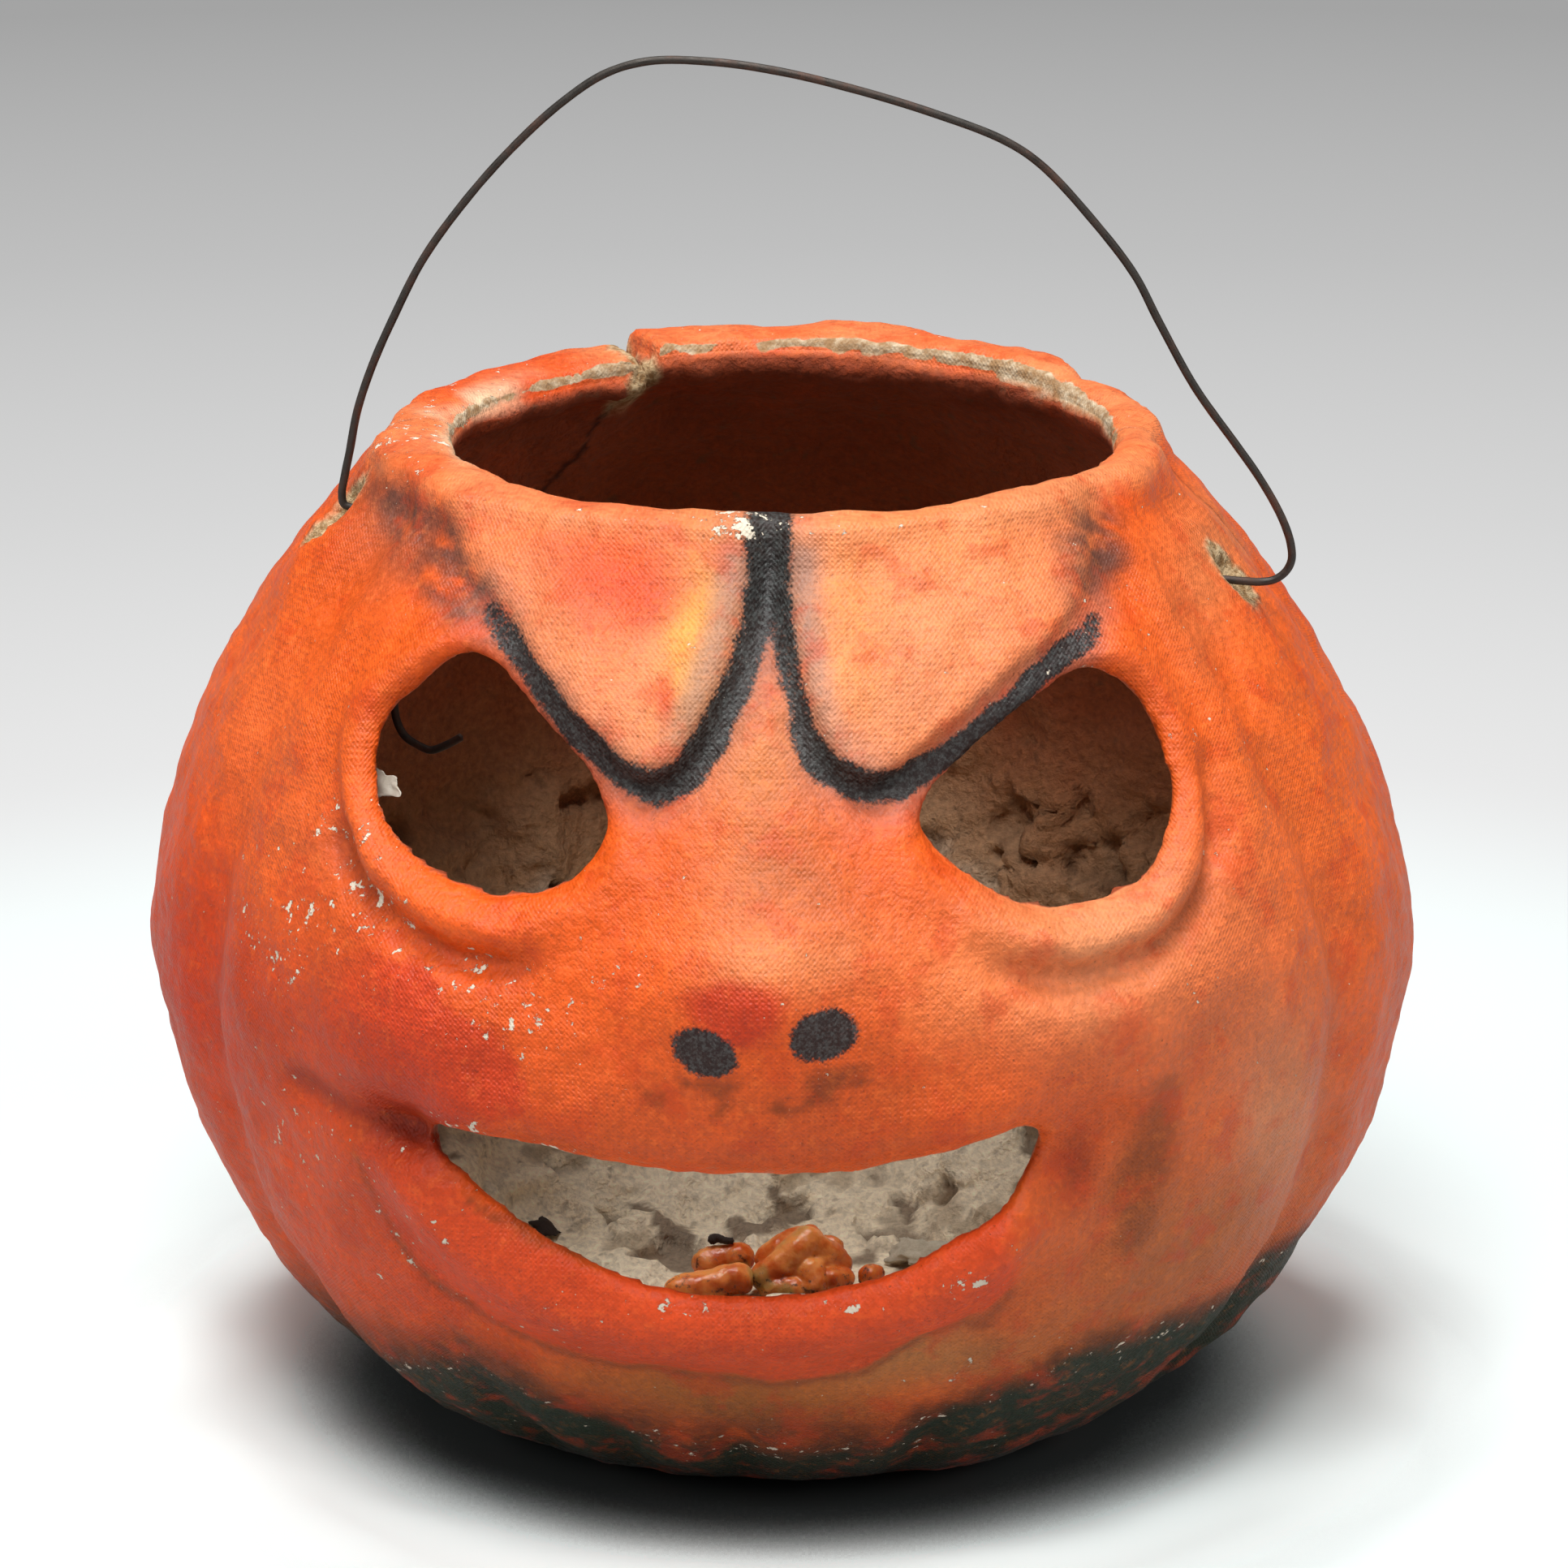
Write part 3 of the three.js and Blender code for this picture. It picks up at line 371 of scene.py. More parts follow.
def body_radius(z, azimuth):
    """Radius of the plain pumpkin, a little flatter in front."""
    front = np.maximum(0, np.cos(np.radians(azimuth))) ** 2
    left = 1 - np.maximum(z, 0) / BELLY_HEIGHT
    full = np.maximum(0, 1 - np.abs(left) ** UNDER_FULLNESS) ** (1 / UNDER_FULLNESS)
    low = BASE_RADIUS - FRONT_TUCK * front * ease(z, 45, 5) + (BELLY_RADIUS - BASE_RADIUS) * full
    corner = CORNER_RADIUS - FRONT_FLAT * front
    climb = np.clip((z - BELLY_HEIGHT) / (BODY_HEIGHT - CORNER_DROP - BELLY_HEIGHT), 0, 1)
    high = corner + (BELLY_RADIUS - corner) * (1 - climb ** SHOULDER_FULLNESS)
    return np.where(z < BELLY_HEIGHT, low, high)


def ribs(azimuth, z):
    """How far the skin stands back in the grooves between the ribs and under the chin."""
    radius = body_radius(z, azimuth)
    cut = np.zeros_like(radius)
    for groove in GROOVES:
        turn = (azimuth - groove + 180) % 360 - 180
        cut += GROOVE_DEPTH * swell(np.radians(turn) * radius, GROOVE_WIDTH)
    for groove in CHIN_GROOVES:
        chin = swell(np.radians(azimuth - groove) * radius, CHIN_GROOVE_WIDTH)
        cut += CHIN_GROOVE_DEPTH * ease(z, 26, 13) * chin
    return -cut * ease(z, 0, 9) * (1 - 0.55 * ease(z, BELLY_HEIGHT, BODY_HEIGHT))


def lean(z):
    """How far the shell leans to the right at a height."""
    climb = ease(z, BELLY_HEIGHT, BELLY_HEIGHT + LEAN_RISE)
    return (LEAN_BELLY + (LEAN_SHOULDER - LEAN_BELLY) * climb) * ease(z, 0, 12)


# The outer skin as a table of radii over height and azimuth, from which any point is read
SKIN_STEP = 1.0
skin_z = np.arange(0, BODY_HEIGHT + 3, SKIN_STEP)
skin_azimuth = np.arange(-180, 180 + SKIN_STEP, SKIN_STEP)
grid_azimuth, grid_z = np.meshgrid(skin_azimuth, skin_z)
skin_radius = body_radius(grid_z, grid_azimuth)
across = skin_radius * np.sin(np.radians(grid_azimuth)) + lean(grid_z)
facing = np.abs(grid_azimuth) < 90
face_relief = np.zeros_like(skin_radius)
face_relief[facing] = relief(across[facing], grid_z[facing]) * ease(grid_z[facing], 12, 30)
skin_radius = skin_radius + ribs(grid_azimuth, grid_z) + face_relief
uneven = 0.6 + 0.5 * np.sin(np.radians(grid_azimuth * 5 + 40)) + 0.3 * np.sin(np.radians(grid_azimuth * 11))
bead = RIM_BEAD[0] * swell(grid_z - RIM_BEAD[1], RIM_BEAD[2])
groove = RIM_GROOVE[0] * swell(grid_z - RIM_GROOVE[1], RIM_GROOVE[2])
skin_radius = skin_radius + uneven * (bead - groove)
high, bulge_azimuth, bulge_z, wide = LEFT_BULGE
off_bulge = np.hypot((grid_azimuth - bulge_azimuth) / wide, (grid_z - bulge_z) / wide)
skin_radius = skin_radius + high * swell(off_bulge, 1)


def skin(z, azimuth):
    """Radius of the outer skin at heights and azimuths, read between the table's rows and columns."""
    row = np.clip(z / SKIN_STEP, 0, len(skin_z) - 1.001)
    column = (azimuth + 180) / SKIN_STEP % (len(skin_azimuth) - 1)
    i, j = row.astype(int), column.astype(int)
    u, v = row - i, column - j
    near = skin_radius[i, j] * (1 - v) + skin_radius[i, j + 1] * v
    far_row = skin_radius[i + 1, j] * (1 - v) + skin_radius[i + 1, j + 1] * v
    return near * (1 - u) + far_row * u


def profile_height(share):
    """Height for a share of the profile: 0 at the base edge, 1 at the belly, 2 at the rim's corner."""
    low = BELLY_HEIGHT * (1 - np.cos(np.minimum(share, 1) * math.pi / 2) ** (2 / UNDER_FULLNESS))
    high = BELLY_HEIGHT + (share - 1) * (BODY_HEIGHT - CORNER_DROP - BELLY_HEIGHT)
    return np.where(share <= 1, low, high)


def profile_normal(z, azimuth):
    """Outward and upward parts of the plain pumpkin's normal."""
    step = 0.6
    low, high = np.maximum(z - step, 0), np.minimum(z + step, BODY_HEIGHT - CORNER_DROP)
    widening = body_radius(high, azimuth) - body_radius(low, azimuth)
    rise = np.maximum(high - low, 0.01)
    size = np.hypot(widening, rise)
    return rise / size, -widening / size


def rim_top(azimuth):
    """Height of the rim, which rises at the back and steps down at the crack."""
    past = (azimuth - CRACK_AZIMUTH) % 360
    sag = np.where(past < CRACK_FADE, CRACK_STEP * (1 - past / CRACK_FADE), 0)
    return BODY_HEIGHT + RIM_BACK_RISE * np.maximum(0, -np.cos(np.radians(azimuth))) - sag


def rim_inner(azimuth):
    """Distance from the axis to the lip of the oval mouth."""
    across = np.sin(np.radians(azimuth)) / RIM_HALF_WIDTH
    deep = np.cos(np.radians(azimuth)) / RIM_HALF_DEPTH
    return 1 / np.hypot(across, deep)


def wall_ring(share, depth, azimuth):
    """Radius and height round the wall, at a share of the profile and a depth below the skin."""
    z = profile_height(share)
    out, up = profile_normal(z, azimuth)
    return skin(z + 0 * azimuth, azimuth) - depth * out, z - depth * up


UNDER_RIM = 1.94


def shell_rings(azimuth):
    """Rings of (radius, height, share of the lean) from the middle of the base, up the outside, over the rim
    and down inside."""
    flat = np.zeros_like(azimuth)
    rings = [(flat + r, flat, flat) for r in np.linspace(0, BASE_RADIUS, 10)[:-1]]
    rings += [(*wall_ring(share, 0, azimuth), flat + 1) for share in np.linspace(0, 2, 104)[:-1]]
    top, inner = rim_top(azimuth), rim_inner(azimuth)
    corner = skin(flat + BODY_HEIGHT - CORNER_DROP, azimuth)
    for turn in np.linspace(0, math.pi / 2, 4):
        drop = CORNER_DROP * (1 - math.sin(turn))
        rings.append((corner - CORNER_DROP * (1 - math.cos(turn)), top - drop, flat + 1))
    for t in np.linspace(0, 1, 7)[1:-1]:
        crown = 0.5 * math.sin(math.pi * t)
        rings.append(((corner - CORNER_DROP) * (1 - t) + (inner + RIM_EDGE) * t, top + crown, flat + 1 - t))
    for turn in np.linspace(0, math.pi / 2, 4):
        rings.append((inner + RIM_EDGE * (1 - math.sin(turn)), top - RIM_EDGE * (1 - math.cos(turn)), flat))
    under = wall_ring(UNDER_RIM, WALL, azimuth)
    for t in np.linspace(0, 1, 4)[1:]:
        rings.append((inner, top - RIM_EDGE - (RIM_THICKNESS - RIM_EDGE) * t, flat))
    for t in np.linspace(0, 1, 6)[1:]:
        z = (top - RIM_THICKNESS) * (1 - t) + under[1] * t
        rings.append((inner * (1 - t) + under[0] * t, z, flat + t))
    rings += [(*wall_ring(share, WALL, azimuth), flat + 1) for share in np.linspace(UNDER_RIM, 0, 60)[1:]]
    rings += [(flat + r, flat + WALL, flat + 1) for r in np.linspace(BASE_RADIUS, 0, 8)[1:]]
    return rings


def solid_object(name, bm):
    """A new object of the scene with the shape that was built."""
    mesh = bpy.data.meshes.new(name)
    bm.to_mesh(mesh)
    bm.free()
    made = bpy.data.objects.new(name, mesh)
    scene.collection.objects.link(made)
    return made


def apply_modifiers(made):
    """Makes the modified shape the object's own mesh."""
    depsgraph = bpy.context.evaluated_depsgraph_get()
    mesh = bpy.data.meshes.new_from_object(made.evaluated_get(depsgraph))
    old = made.data
    made.modifiers.clear()
    made.data = mesh
    bpy.data.meshes.remove(old)


def carve(made, tool, operation="DIFFERENCE"):
    """Cuts a solid with another, which is then gone."""
    cut = made.modifiers.new("cut", "BOOLEAN")
    cut.object = tool
    cut.operation = operation
    cut.solver = "MANIFOLD"
    apply_modifiers(made)
    bpy.data.objects.remove(tool)


def coordinates(mesh):
    places = np.empty(len(mesh.vertices) * 3, np.float32)
    mesh.vertices.foreach_get("co", places)
    return places.reshape(-1, 3).astype(float)


def set_coordinates(made, places):
    made.data.vertices.foreach_set("co", places.astype(np.float32).ravel())
    made.data.update()


def even_skin(made, cell, factor, rounds):
    """Remeshes a shape as one closed even skin, softens it, and gives its points and their normals."""
    even = made.modifiers.new("even", "REMESH")
    even.mode = "VOXEL"
    even.voxel_size = cell
    softened = made.modifiers.new("softened", "SMOOTH")
    softened.factor = factor
    softened.iterations = rounds
    apply_modifiers(made)
    normals = np.empty(len(made.data.vertices) * 3, np.float32)
    made.data.vertex_normals.foreach_get("vector", normals)
    return coordinates(made.data), normals.reshape(-1, 3).astype(float)


AZIMUTH_STEPS = 360


def wrapped_shell():
    """The whole shell: a grid is wrapped round the axis, one row of it on each ring of the profile."""
    turns = np.arange(AZIMUTH_STEPS + 1) * 360 / AZIMUTH_STEPS - 180
    rings = np.array(shell_rings(turns))
    bm = bmesh.new()
    bmesh.ops.create_grid(bm, x_segments=len(rings) - 1, y_segments=AZIMUTH_STEPS, size=0.5)
    flat = solid_object("shell", bm)
    places = coordinates(flat.data)
    ring = np.round((places[:, 0] + 0.5) * (len(rings) - 1)).astype(int)
    turn = np.round((places[:, 1] + 0.5) * AZIMUTH_STEPS).astype(int)
    radius, z, leaning = rings[ring, 0, turn], rings[ring, 1, turn], rings[ring, 2, turn]
    angle = np.radians(turns[turn])
    x = radius * np.sin(angle) + lean(z) * leaning
    set_coordinates(flat, np.stack([x, -radius * np.cos(angle), z], axis=1))
    bm = bmesh.new()
    bm.from_mesh(flat.data)
    bmesh.ops.remove_doubles(bm, verts=bm.verts, dist=0.001)
    bmesh.ops.recalc_face_normals(bm, faces=bm.faces)
    bm.to_mesh(flat.data)
    bm.free()
    return flat


def rough(points, size, seed, layers=3):
    """Soft random lumps of about the given size, between about -1 and 1."""
    cells = 40
    table = np.random.default_rng(seed).uniform(-1, 1, (cells, cells, cells))
    total = np.zeros(len(points))
    strength = 1.0
    for layer in range(layers):
        at = points / size * 2 ** layer + 11.7 * layer
        cell = np.floor(at).astype(int)
        t = at - cell
        t = (t * t * (3 - 2 * t)).T
        low, high = (cell % cells).T, ((cell + 1) % cells).T
        for a, b, c in np.ndindex(2, 2, 2):
            weight = (t[0] if a else 1 - t[0]) * (t[1] if b else 1 - t[1]) * (t[2] if c else 1 - t[2])
            corner = (high if a else low)[0], (high if b else low)[1], (high if c else low)[2]
            total += strength * weight * table[corner]
        strength /= 2
    return total


def pushed_through(name, corners, push):
    """A solid to cut with: a flat outline pushed straight through the wall."""
    bm = bmesh.new()
    face = bm.faces.new([bm.verts.new(corner) for corner in corners])
    pushed = bmesh.ops.extrude_face_region(bm, geom=[face])["geom"]
    moved = [v for v in pushed if isinstance(v, bmesh.types.BMVert)]
    bmesh.ops.translate(bm, verts=moved, vec=push)
    bmesh.ops.recalc_face_normals(bm, faces=bm.faces)
    return solid_object(name, bm)


CUT_WOBBLE = 0.35
CUT_FROM_Y = -125
CUT_DEPTH = 100


def face_opening(name, line, seed):
    """An eye or the smile, cut a little unevenly."""
    flat_points = np.stack([line[:, 0], line[:, 1], 0 * line[:, 0]], axis=1)
    wobble = np.stack([rough(flat_points, 7, seed), rough(flat_points, 7, seed + 1)], axis=1) * CUT_WOBBLE
    return pushed_through(name, [(x, CUT_FROM_Y, z) for x, z in line + wobble], (0, CUT_DEPTH, 0))


# Holes of the bail, torn in the pulp: azimuth, height, half sizes of the tear and how far up the slope it is
HOLES = [(-76.5, 139.6, 3.4, 7.6, 4.4, -1), (76.4, 130.1, 3.3, 5.2, 3.2, 0.8)]
LEFT_HINGE = Vector((-63.3213, -15.4531, 139.6))
RIGHT_HINGE = Vector((67.4244, -16.7472, 130.1))
HOLE_RADIUS = 1.25
HINGE = Vector((0.9973221, -0.0098712, -0.0724656))
CRACK_FROM = 35
CRACK_LENGTH = 60
CRACK_LINE = [(-2.2, 6), (-1.6, -1.5), (-0.4, -4.5), (0.3, -8), (0.9, -8), (0.8, -4.5), (1.2, -1.5), (1.8, 6)]


def hole_frame(azimuth, z):
    """The middle of a hole on the skin, and the directions across it, up the slope and outwards."""
    angle = math.radians(azimuth)
    at = np.array([float(azimuth)])
    radius = float(skin(at * 0 + z, at)[0])
    out, up = (float(part[0]) for part in profile_normal(at * 0 + z, at))
    outwards = Vector((math.sin(angle) * out, -math.cos(angle) * out, up))
    sideways = Vector((math.cos(angle), math.sin(angle), 0))
    middle = Vector((radius * math.sin(angle) + float(lean(z)), -radius * math.cos(angle), z))
    return middle, sideways, outwards.cross(sideways), outwards


def torn_hollow(azimuth, z, wide, long, deep, up_slope, seed):
    """A ragged hollow where the pulp tore away."""
    middle, sideways, slope, outwards = hole_frame(azimuth, z)
    bm = bmesh.new()
    bmesh.ops.create_icosphere(bm, subdivisions=5, radius=1)
    for vert in bm.verts:
        away = vert.co.copy()
        ragged = 1 + 0.4 * noise.fractal(away * 2.6 + Vector((seed, 0, 0)), 1, 2, 4)
        away = sideways * away.x * wide + slope * away.y * long + outwards * away.z * deep
        vert.co = middle + slope * up_slope + away * ragged
    return solid_object(f"tear_{seed}", bm)


def wire_hole(middle):
    """A straight hole along the line that the bail turns about."""
    bm = bmesh.new()
    bmesh.ops.create_cone(bm, cap_ends=True, segments=16, radius1=HOLE_RADIUS, radius2=HOLE_RADIUS, depth=24)
    turned = HINGE.to_track_quat("Z", "X").to_matrix().to_4x4()
    turned.translation = middle
    bmesh.ops.transform(bm, matrix=turned, verts=bm.verts)
    return solid_object("wire_hole", bm)


def crack_wedge():
    """The crack runs down from the rim, out through the wall behind."""
    angle = math.radians(CRACK_AZIMUTH)
    outwards = Vector((math.sin(angle), -math.cos(angle), 0))
    sideways = Vector((math.cos(angle), math.sin(angle), 0))
    corners = [sideways * x + Vector((0, 0, BODY_HEIGHT + z)) + outwards * CRACK_FROM for x, z in CRACK_LINE]
    return pushed_through("crack", corners, outwards * CRACK_LENGTH)


def around(points):
    """Azimuth in degrees and distance from the leaning axis."""
    x = points[:, 0] - lean(points[:, 2])
    return np.degrees(np.arctan2(x, -points[:, 1])), np.hypot(x, points[:, 1])


def below_skin(points):
    """How deep points lie below the skin of the wall, the rim's top or the base."""
    azimuth, radius = around(points)
    z = points[:, 2]
    out, _ = profile_normal(np.clip(z, 0, BODY_HEIGHT - CORNER_DROP), azimuth)
    wall = (skin(z, azimuth) - radius) * out
    return np.minimum(np.minimum(wall, rim_top(azimuth) + 0.3 - z), z)


# What lies inside rests on calmer places of the pulp: middle and reach
RESTS = [(-12, 14.4, 4, 8), (-10.5, 23.8, 4, 7), (2.5, 20, 4, 10), (4, 30.8, 4, 8), (13.4, 21.5, 4, 4),
         (21, 28, 4, 9), (-39.4, 36.2, 7.5, 5), (-56, -56.3, 110, 5)]


def hand_laid(points):
    """How far the pulp laid on by hand inside stands proud of the plain wall, in lumps, flaps and hollows."""
    low = ease(points[:, 2], 84, 60)
    lumps = 1.1 * rough(points, 11, 3, 3) + 0.4 * rough(points, 3.4, 4, 2)
    flaps = ease(rough(points * [1, 1, 1.3], 13, 5, 4), 0.02, 0.12)
    flaps += ease(rough(points * [1, 1, 1.5], 8, 8, 3), 0.15, 0.22)
    ridges = np.clip(1 - 2.2 * np.abs(rough(points, 15, 6, 3)), 0, 1)
    hollows = ease(rough(points * [1, 1, 1.4], 10, 17, 3), 0.3, 0.5)
    laid = 1.1 + lumps + low * (1.5 * ridges + 1.2 * flaps - 3 * hollows)
    return np.clip(laid, -0.3, 4.6)


def lumpy(points, normals):
    """Moves the smooth shell's points to the uneven surface of pressed and hand-laid pulp."""
    depth = below_skin(points)
    z = points[:, 2]
    outer = ease(depth, 2.4, 1.2)
    inner = ease(depth, 3.0, 3.6)
    dents = 0.5 * rough(points, 15, 1, 2) + 0.32 * rough(points, 5, 2, 2) + 0.14 * rough(points, 2.2, 9, 1)
    moved = outer * dents
    moved *= np.where(z < 1, 0, 1)
    laid = hand_laid(points)
    calm = np.where(z < 12, 1, 0.15 + 0.85 * ease(np.abs(points[:, 1] - SEAM_Y), 11, 17))
    for *middle, reach in RESTS:
        away = np.linalg.norm(points - np.array(middle), axis=1)
        calm = np.minimum(calm, 0.1 + 0.9 * ease(away, reach, reach + 4))
    front = points[:, 1] < 0
    for line in EYES + [SMILE]:
        calm[front] *= ease(outward(line, points[front, 0], z[front]), 3, 10)
    moved += inner * laid * calm
    return points + normals * moved[:, None]


# The shell as it is made: wrapped, cut through, melted into one skin of small cells, and laid lumpy by hand
VOXEL = 1.06
shell = wrapped_shell()
for number, line in enumerate(EYES + [SMILE]):
    carve(shell, face_opening(f"opening_{number}", line, 20 + 2 * number))
for number, (azimuth, z, *tear) in enumerate(HOLES):
    carve(shell, torn_hollow(azimuth, z, *tear, 3 + number))
    carve(shell, wire_hole((LEFT_HINGE, RIGHT_HINGE)[number]))
carve(shell, crack_wedge())
set_coordinates(shell, lumpy(*even_skin(shell, VOXEL, factor=0.5, rounds=2)))

SEAM_GLUE = 0.12
BLOCK_SIZE = 400


def half_of(front):
    """One half of the shell, up to the glued seam."""
    half = bpy.data.objects.new("half", shell.data.copy())
    scene.collection.objects.link(half)
    bm = bmesh.new()
    bmesh.ops.create_cube(bm, size=BLOCK_SIZE)
    shift = (BLOCK_SIZE + SEAM_GLUE) / 2
    bmesh.ops.translate(bm, verts=bm.verts, vec=(0, SEAM_Y - shift if front else SEAM_Y + shift, 0))
    carve(half, solid_object("side", bm), "INTERSECT")
    return half


face_half = half_of(True)
back_half = half_of(False)
bpy.data.objects.remove(shell)


# Paint of the shell, sprayed and brushed on before the eyes were cut clean. A soft patch has its colour, its
# middle in x and z, its half sizes and its strength.
PAINT = "#f05e14"
BACK_PAINT = "#e4561a"
# Some patches are painted light: the pale ones on the top of the nose and under the right eye are painted
# highlights on the lit tops of those mounds, and the darker ones above the mouth are painted shade where the
# muzzle faces down.
PATCHES = [
    ("#d8864f", 0, 120, 8, 13, 0.8), ("#cc6f3c", 2, 107, 12, 5, 0.8), ("#f28e54", 3, 98, 12, 5, 0.8),
    ("#f09a66", 46, 95, 18, 11, 0.95), ("#ea7c3c", 30, 94, 12, 8, 0.5), ("#d8581f", 0, 79, 36, 9, 0.7),
    ("#cc5424", -6, 72, 26, 4, 0.5),
    ("#dc7440", 68, 80, 20, 22, 0.7), ("#ba6a36", 60, 45, 24, 18, 0.9), ("#e09468", 73, 62, 7, 15, 0.8),
    ("#ec6a24", -68, 100, 16, 22, 0.5), ("#d0481c", -70, 66, 18, 22, 0.7), ("#de4a18", -48, 42, 22, 14, 0.85),
    ("#cb3f17", -58, 80, 18, 9, 0.75), ("#f0743a", -76, 112, 10, 14, 0.4), ("#e08a54", 64, 134, 9, 10, 0.6),
    ("#e8702e", 70, 108, 10, 14, 0.4), ("#be7840", 20, 33, 28, 8, 1), ("#c0702c", -6, 26, 26, 6, 1),
    ("#b05a26", 60, 24, 16, 9, 0.7), ("#f2691c", 82, 100, 9, 22, 0.7), ("#d43a00", -84, 72, 14, 24, 1),
    ("#e6500f", -62, 44, 16, 14, 0.7), ("#b35a38", -57, 140, 7, 6, 0.7), ("#dd6230", -62, 102, 8, 7, 0.5),
]
BROW_PATCHES = [
    ("#f09864", 0, 135, 60, 30, 0.9), ("#dd4519", -22, 142, 10, 6, 0.95), ("#d8481c", -17, 138.5, 7, 4, 0.9),
    ("#f0a048", -9, 135, 4, 11, 0.95), ("#ec8c4a", 12, 138, 6, 9, 0.8), ("#ea6026", -26, 147, 16, 4, 0.8),
    ("#ec8444", 24, 146, 14, 5, 0.6), ("#ea6a34", -20, 131, 4, 5, 0.5), ("#dd4a1c", -12, 128, 1.7, 3.2, 0.85),
]
LIP_RED = "#e84e1c"
NOSE_RED = "#d23b14"
BASE_GREEN = "#14301f"
FADE_AND_SHADE_BROWN = "#5a3012"
RIGHT_GROOVE_BROWN = "#8a461c"
CREASE_DUST_AND_SHADE_RED = "#7c1f0c"
SMUDGE_GREY = "#363a36"
LIP_EDGE_SHADE_BROWN = "#93441f"
CHEEK_RED = "#cf3a12"
FOOT_SHADE_BLACK = "#10150d"
HALO_GREY = "#9c8276"
OVERSPRAY_GREY = "#8a7064"
LEDGE_ROSE = "#f2935c"
LEDGE_CREAM = "#f0cda6"
INNER_RUST = "#b84a20"
HOLLOW_SHADE_BROWN = "#5a3a24"
STAIN_TAN = "#8a6a48"
WAX_GRIME = "#4a3a2a"

# The inside by height, pale at the floor and dark red-brown up under the rim, partly stain and soot and
# partly painted light and shade, and the edges of the green base and of the brown above it by azimuth
INSIDE = [(4, "#ffeccc"), (42, "#fff0d8"), (54, "#c49872"), (68, "#ac7650"), (86, "#b2603c"),
          (115, "#a8522f"), (150, "#944022")]
GREEN_EDGE = [(-180, 12), (-90, 16), (-70, 17), (-63, 16), (-54, 17), (-45, 20), (-39, 22), (-33, 24),
              (-27, 22), (-22, 17), (-16, 14), (-11, 12), (-5, 12), (4, 12), (10, 13), (14, 13), (17, 19),
              (20, 21), (27, 24), (34, 28), (45, 28), (55, 29), (66, 31), (90, 26), (120, 16), (180, 12)]
BROWN_RISE = [(-180, 5), (-85, 6), (-60, 14), (-40, 9), (-25, 10), (-10, 16), (10, 13), (18, 6), (60, 3),
              (180, 5)]

# Airbrushed lines, each as points of x, z, half width and strength
BLACK_LINES = [
    [(-0.1, 148.6, 3.4, 1), (0, 143.6, 3.2, 1), (-0.6, 137.7, 2.7, 0.95), (-3.1, 130.8, 2.3, 0.85),
     (-7.4, 122.6, 2.4, 0.95), (-10.6, 118.6, 2.5, 1), (-15.1, 117.1, 2.6, 1), (-19.7, 118.2, 2.3, 1),
     (-25.6, 122.1, 2.1, 1), (-32.2, 128.4, 2.0, 0.9), (-38.4, 134.3, 2.2, 0.7)],
    [(0.3, 141, 2.4, 0.9), (1.6, 137.7, 2.0, 0.8), (3.9, 129.5, 1.9, 0.75), (5.7, 122.8, 2.1, 0.9),
     (9, 119.2, 2.4, 1), (14, 117.1, 2.6, 1), (19, 117, 2.3, 1), (26, 119.6, 1.9, 1), (34, 125, 1.8, 1),
     (40.2, 129.3, 1.8, 1), (45.4, 132, 1.9, 0.7)],
]

# Softer strokes with the same numbers: soot rubbed off by hand, and grey haze beside the centre line
SMUDGES = [
    [(45, 134.5, 2.6, 0.3), (46, 138.5, 3.4, 0.85), (45.2, 143, 3.6, 0.7), (43.5, 145.5, 3, 0.3)],
    [(-58, 144.5, 2.4, 0.5), (-54.5, 141.5, 3, 0.75), (-51, 138.5, 2.6, 0.3)],
    [(-51, 142.5, 2.4, 0.5), (-46.5, 139, 3.2, 0.8), (-41, 135.5, 3, 0.8), (-37, 132.5, 2.4, 0.4)],
]
HALO_LINES = [[(-5.4, 144, 1.4, 0.7), (-6.6, 137, 1.4, 0.8), (-9, 130, 1.4, 0.7), (-12, 125, 1.4, 0.3)],
              [(5, 144, 1.4, 0.7), (6.4, 135, 1.4, 0.8), (8, 128, 1.4, 0.7), (10.5, 124, 1.4, 0.4)]]

# Patches and creases of the face. A nostril has its middle, half sizes and turn, and a chipped spot its
# middle, half sizes and share. The crack's hairline goes down from the rim.
RED_PATCH = [(-56, 92), (-46, 91), (-42, 86.5), (-37, 84.5), (-33.7, 81.5), (-32, 77.5), (-32, 74.5),
             (-34.2, 72.6), (-40, 71.5), (-48, 69), (-58, 66), (-66, 72), (-66, 86)]
CHEEK_CREASE = [(-50, 66), (-57, 66.5), (-66, 70)]
RIGHT_GROOVE_STROKE = [(56, 72, 2, 0.55), (54, 62, 2.6, 0.7), (51, 49, 2.2, 0.6)]
UNDER_NOSE = [(-14, 79, 2.6, 0.5), (0, 80.5, 3, 0.6), (13, 82, 2.6, 0.5)]
NOSTRILS = [(-7.2, 85.8, 4.6, 3.5, -12), (9.1, 88.1, 4.6, 3.8, 8)]
CRACK_PATH = [(0, 146, 0.5, 1), (0.8, 139, 0.5, 1), (2.6, 134, 0.4, 0.9), (2.0, 131, 0.5, 1),
              (4.6, 126, 0.4, 0.9), (6.8, 121, 0.4, 0.8), (6.0, 116, 0.3, 0.6)]
